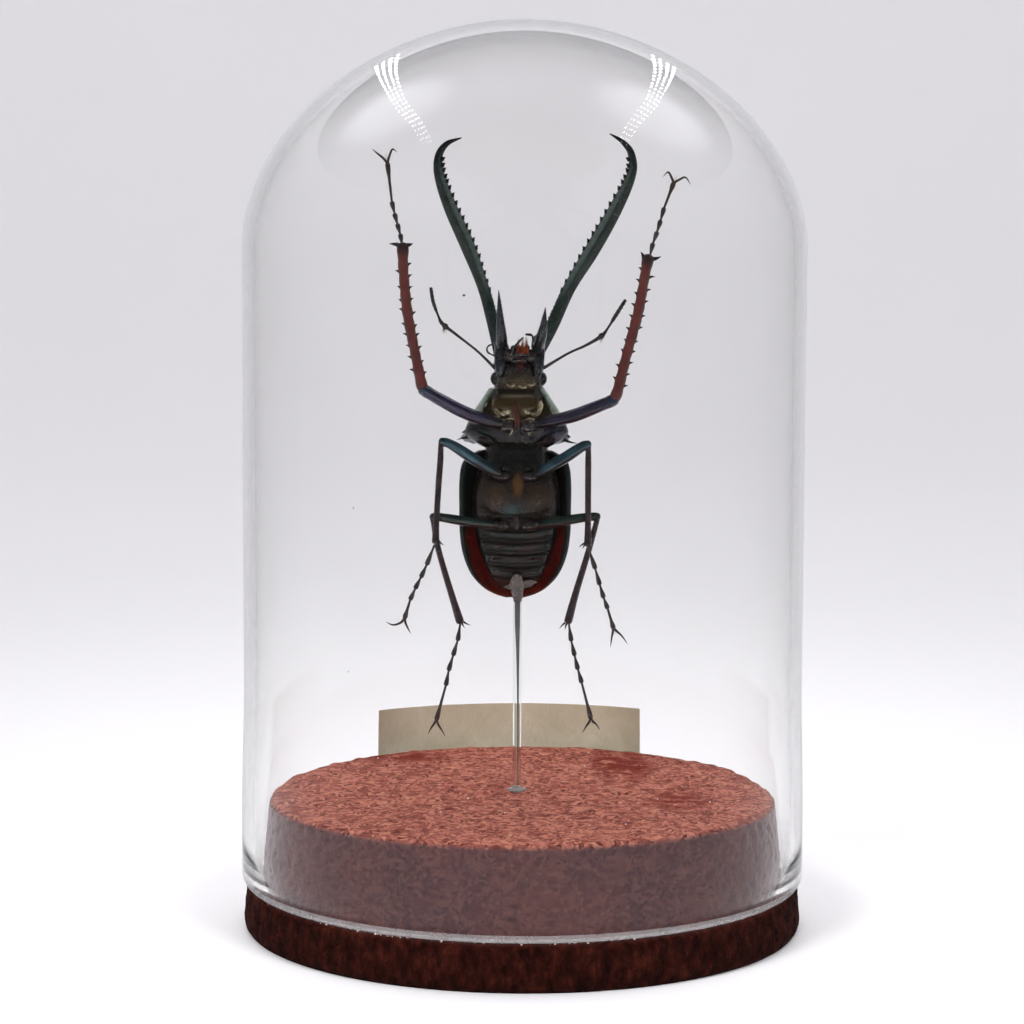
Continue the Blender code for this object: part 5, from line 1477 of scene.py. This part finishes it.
def build_world():
    """Pale light behind the subject and below it, and a darker room in front."""
    world = bpy.data.worlds.new("studio")
    world.use_nodes = True
    tree = world.node_tree
    back = tree.nodes["Background"]
    way = tree.nodes.new("ShaderNodeSeparateXYZ")
    direction = tree.nodes.new("ShaderNodeTexCoord").outputs["Generated"]
    tree.links.new(direction, way.inputs[0])

    def fade(value, low, high, to_low, to_high):
        made = tree.nodes.new("ShaderNodeMapRange")
        made.interpolation_type = "SMOOTHSTEP"
        tree.links.new(value, made.inputs["Value"])
        for key, number in (("From Min", low), ("From Max", high), ("To Min", to_low), ("To Max", to_high)):
            made.inputs[key].default_value = number
        return made.outputs[0]

    def join(operation, a, b):
        made = tree.nodes.new("ShaderNodeMath")
        made.operation = operation
        tree.links.new(a, made.inputs[0])
        tree.links.new(b, made.inputs[1])
        return made.outputs[0]

    behind = fade(way.outputs["Y"], 0.7, 0.98, 0.014, 0.8)
    below = fade(way.outputs["Z"], -0.6, -0.2, 0.2, 0.0)
    light = join("MAXIMUM", behind, below)
    for aim in ((-0.5, 0.3, 0.81), (0.52, 0.25, 0.82)):
        dot = tree.nodes.new("ShaderNodeVectorMath")
        dot.operation = "DOT_PRODUCT"
        tree.links.new(direction, dot.inputs[0])
        dot.inputs[1].default_value = aim
        light = join("MAXIMUM", light, fade(dot.outputs["Value"], 0.95, 0.995, 0.0, 1.8))
    path = tree.nodes.new("ShaderNodeLightPath")
    soft = fade(path.outputs["Is Diffuse Ray"], 0.0, 1.0, 1.0, 0.0)
    level = fade(path.outputs["Is Diffuse Ray"], 0.0, 1.0, 0.0, 0.14)
    tree.links.new(join("ADD", join("MULTIPLY", light, soft), level), back.inputs["Strength"])
    back.inputs["Color"].default_value = (0.96, 0.96, 1.0, 1.0)
    bpy.context.scene.world = world


def strip_lamp(name, side, rail, power):
    """A bowed strip of small bright dots in rows, seen only as dotted highlights on the glass."""
    route = curve([(side * x, y, z) for x, y, z in rail], 22)
    forward = frames(route)[0]
    shape = Shape()
    angles = around(8)
    for place, way in zip(route, forward):
        for row in (-17.0, -6.0, 6.0, 17.0):
            middle = place + np.array([row, 0.0, 0.0])
            facing = np.array([0.0, 0.0, 120.0]) - middle
            across = np.cross(way, facing / np.linalg.norm(facing))
            dot = middle + 5.5 * np.cos(angles)[:, None] * way + 2.4 * np.sin(angles)[:, None] * across
            shape.add(dot, [tuple(range(8))])
    mesh = bpy.data.meshes.new(name)
    mesh.from_pydata((np.concatenate(shape.points) * MM).tolist(), [], shape.faces)
    look = Look(name + "_dots", Base_Color=(0.9, 0.9, 0.9), Emission_Color=(1.0, 1.0, 1.0))
    look.set(Emission_Strength=power)
    look.material.cycles.emission_sampling = "NONE"
    mesh.materials.append(look.material)
    lamp = link(name, mesh)
    lamp.visible_diffuse = False


def build_studio():
    """A pale floor that rises all round into a low wall, soft boxes and the camera."""
    reach, rise = 855.0, 500.0
    rows = [(0.5 + 9.5 * i, 0.0) for i in range(90)]
    for turn in np.radians(np.arange(3, 91, 3)):
        rows.append((reach + rise * math.sin(turn), rise - rise * math.cos(turn)))
    rows += [(reach + rise, rise + 40.0 * i) for i in range(1, 12)]
    rings = turned_rings([(r, z - 0.02) for r, z in rows], 96) * MM
    count, sides = rings.shape[:2]
    faces = [
        (i * sides + j, i * sides + (j + 1) % sides, (i + 1) * sides + (j + 1) % sides, (i + 1) * sides + j)
        for i in range(count - 1) for j in range(sides)
    ]
    faces.append(tuple(range(sides)))
    mesh = bpy.data.meshes.new("studio_floor")
    mesh.from_pydata(rings.reshape(-1, 3).tolist(), [], faces)
    mesh.shade_smooth()
    floor = link("studio_floor", mesh)
    look = Look("studio_paper", Roughness=0.9, Specular_IOR_Level=0.0)
    look.set(Base_Color=look.mix(look.noise(0.004), (0.78, 0.77, 0.79), (0.81, 0.80, 0.82)))
    mesh.materials.append(look.material)
    floor.visible_glossy = False
    build_world()

    def softbox(name, place, size, power, aim=(0.0, 0.0, 0.08), spread=180.0):
        lamp = bpy.data.lights.new(name, "AREA")
        lamp.shape = "RECTANGLE"
        lamp.size, lamp.size_y = size
        lamp.energy = power
        lamp.spread = math.radians(spread)
        holder = link(name, lamp)
        holder.location = place
        way = Vector(aim) - Vector(place)
        holder.rotation_euler = way.to_track_quat("-Z", "Y").to_euler()
        holder.visible_glossy = holder.visible_transmission = False

    rail = (
        (170.0, 495.0, 430.0), (263.0, 305.0, 585.0), (300.0, 153.0, 642.0),
        (307.0, -12.0, 667.0), (309.0, -129.0, 655.0),
    )
    strip_lamp("strip_left", -1.0, rail, 28.0)
    strip_lamp("strip_right", 1.0, rail, 28.0)
    softbox("fill_left", (-0.42, -0.42, 0.55), (0.25, 0.25), 0.34, spread=50.0)
    softbox("fill_right", (0.42, -0.42, 0.52), (0.25, 0.25), 0.24, spread=50.0)
    softbox("overhead", (0.0, 0.05, 0.9), (0.5, 0.5), 1.1, spread=110.0)
    softbox("backdrop", (0.0, 0.6, 1.3), (1.8, 0.5), 13.0, (0.0, 1.3, 0.3))

    camera = link("camera", bpy.data.cameras.new("camera"))
    camera.data.sensor_width = 36.0
    camera.data.lens = CAMERA_LENS
    camera.data.clip_start = 0.01
    camera.matrix_world = (
        Matrix.Translation(CAMERA_PLACE)
        @ Matrix.Rotation(math.radians(CAMERA_TURN), 4, "Z")
        @ Matrix.Rotation(math.radians(90.0 - CAMERA_DIP), 4, "X")
        @ Matrix.Rotation(math.radians(CAMERA_ROLL), 4, "Z")
    )
    bpy.context.scene.camera = camera
    bpy.context.scene.view_settings.view_transform = "Standard"


def main():
    looks = make_looks()
    build_head(looks)
    build_prothorax(looks)
    build_hind_body(looks)
    build_wing_case(looks, "wing_case_left", -1.0)
    build_wing_case(looks, "wing_case_right", 1.0)
    for side, layout in JAWS.items():
        build_jaw(looks, side, layout)
    for side, points in FEELERS.items():
        build_feeler(looks, side, points)
    build_mouth(looks)
    for name, layout in LEGS.items():
        build_leg(looks, name, layout)
    build_stand()
    build_dome()
    build_rod()
    build_glue()
    build_label()
    build_dust()
    build_studio()


main()
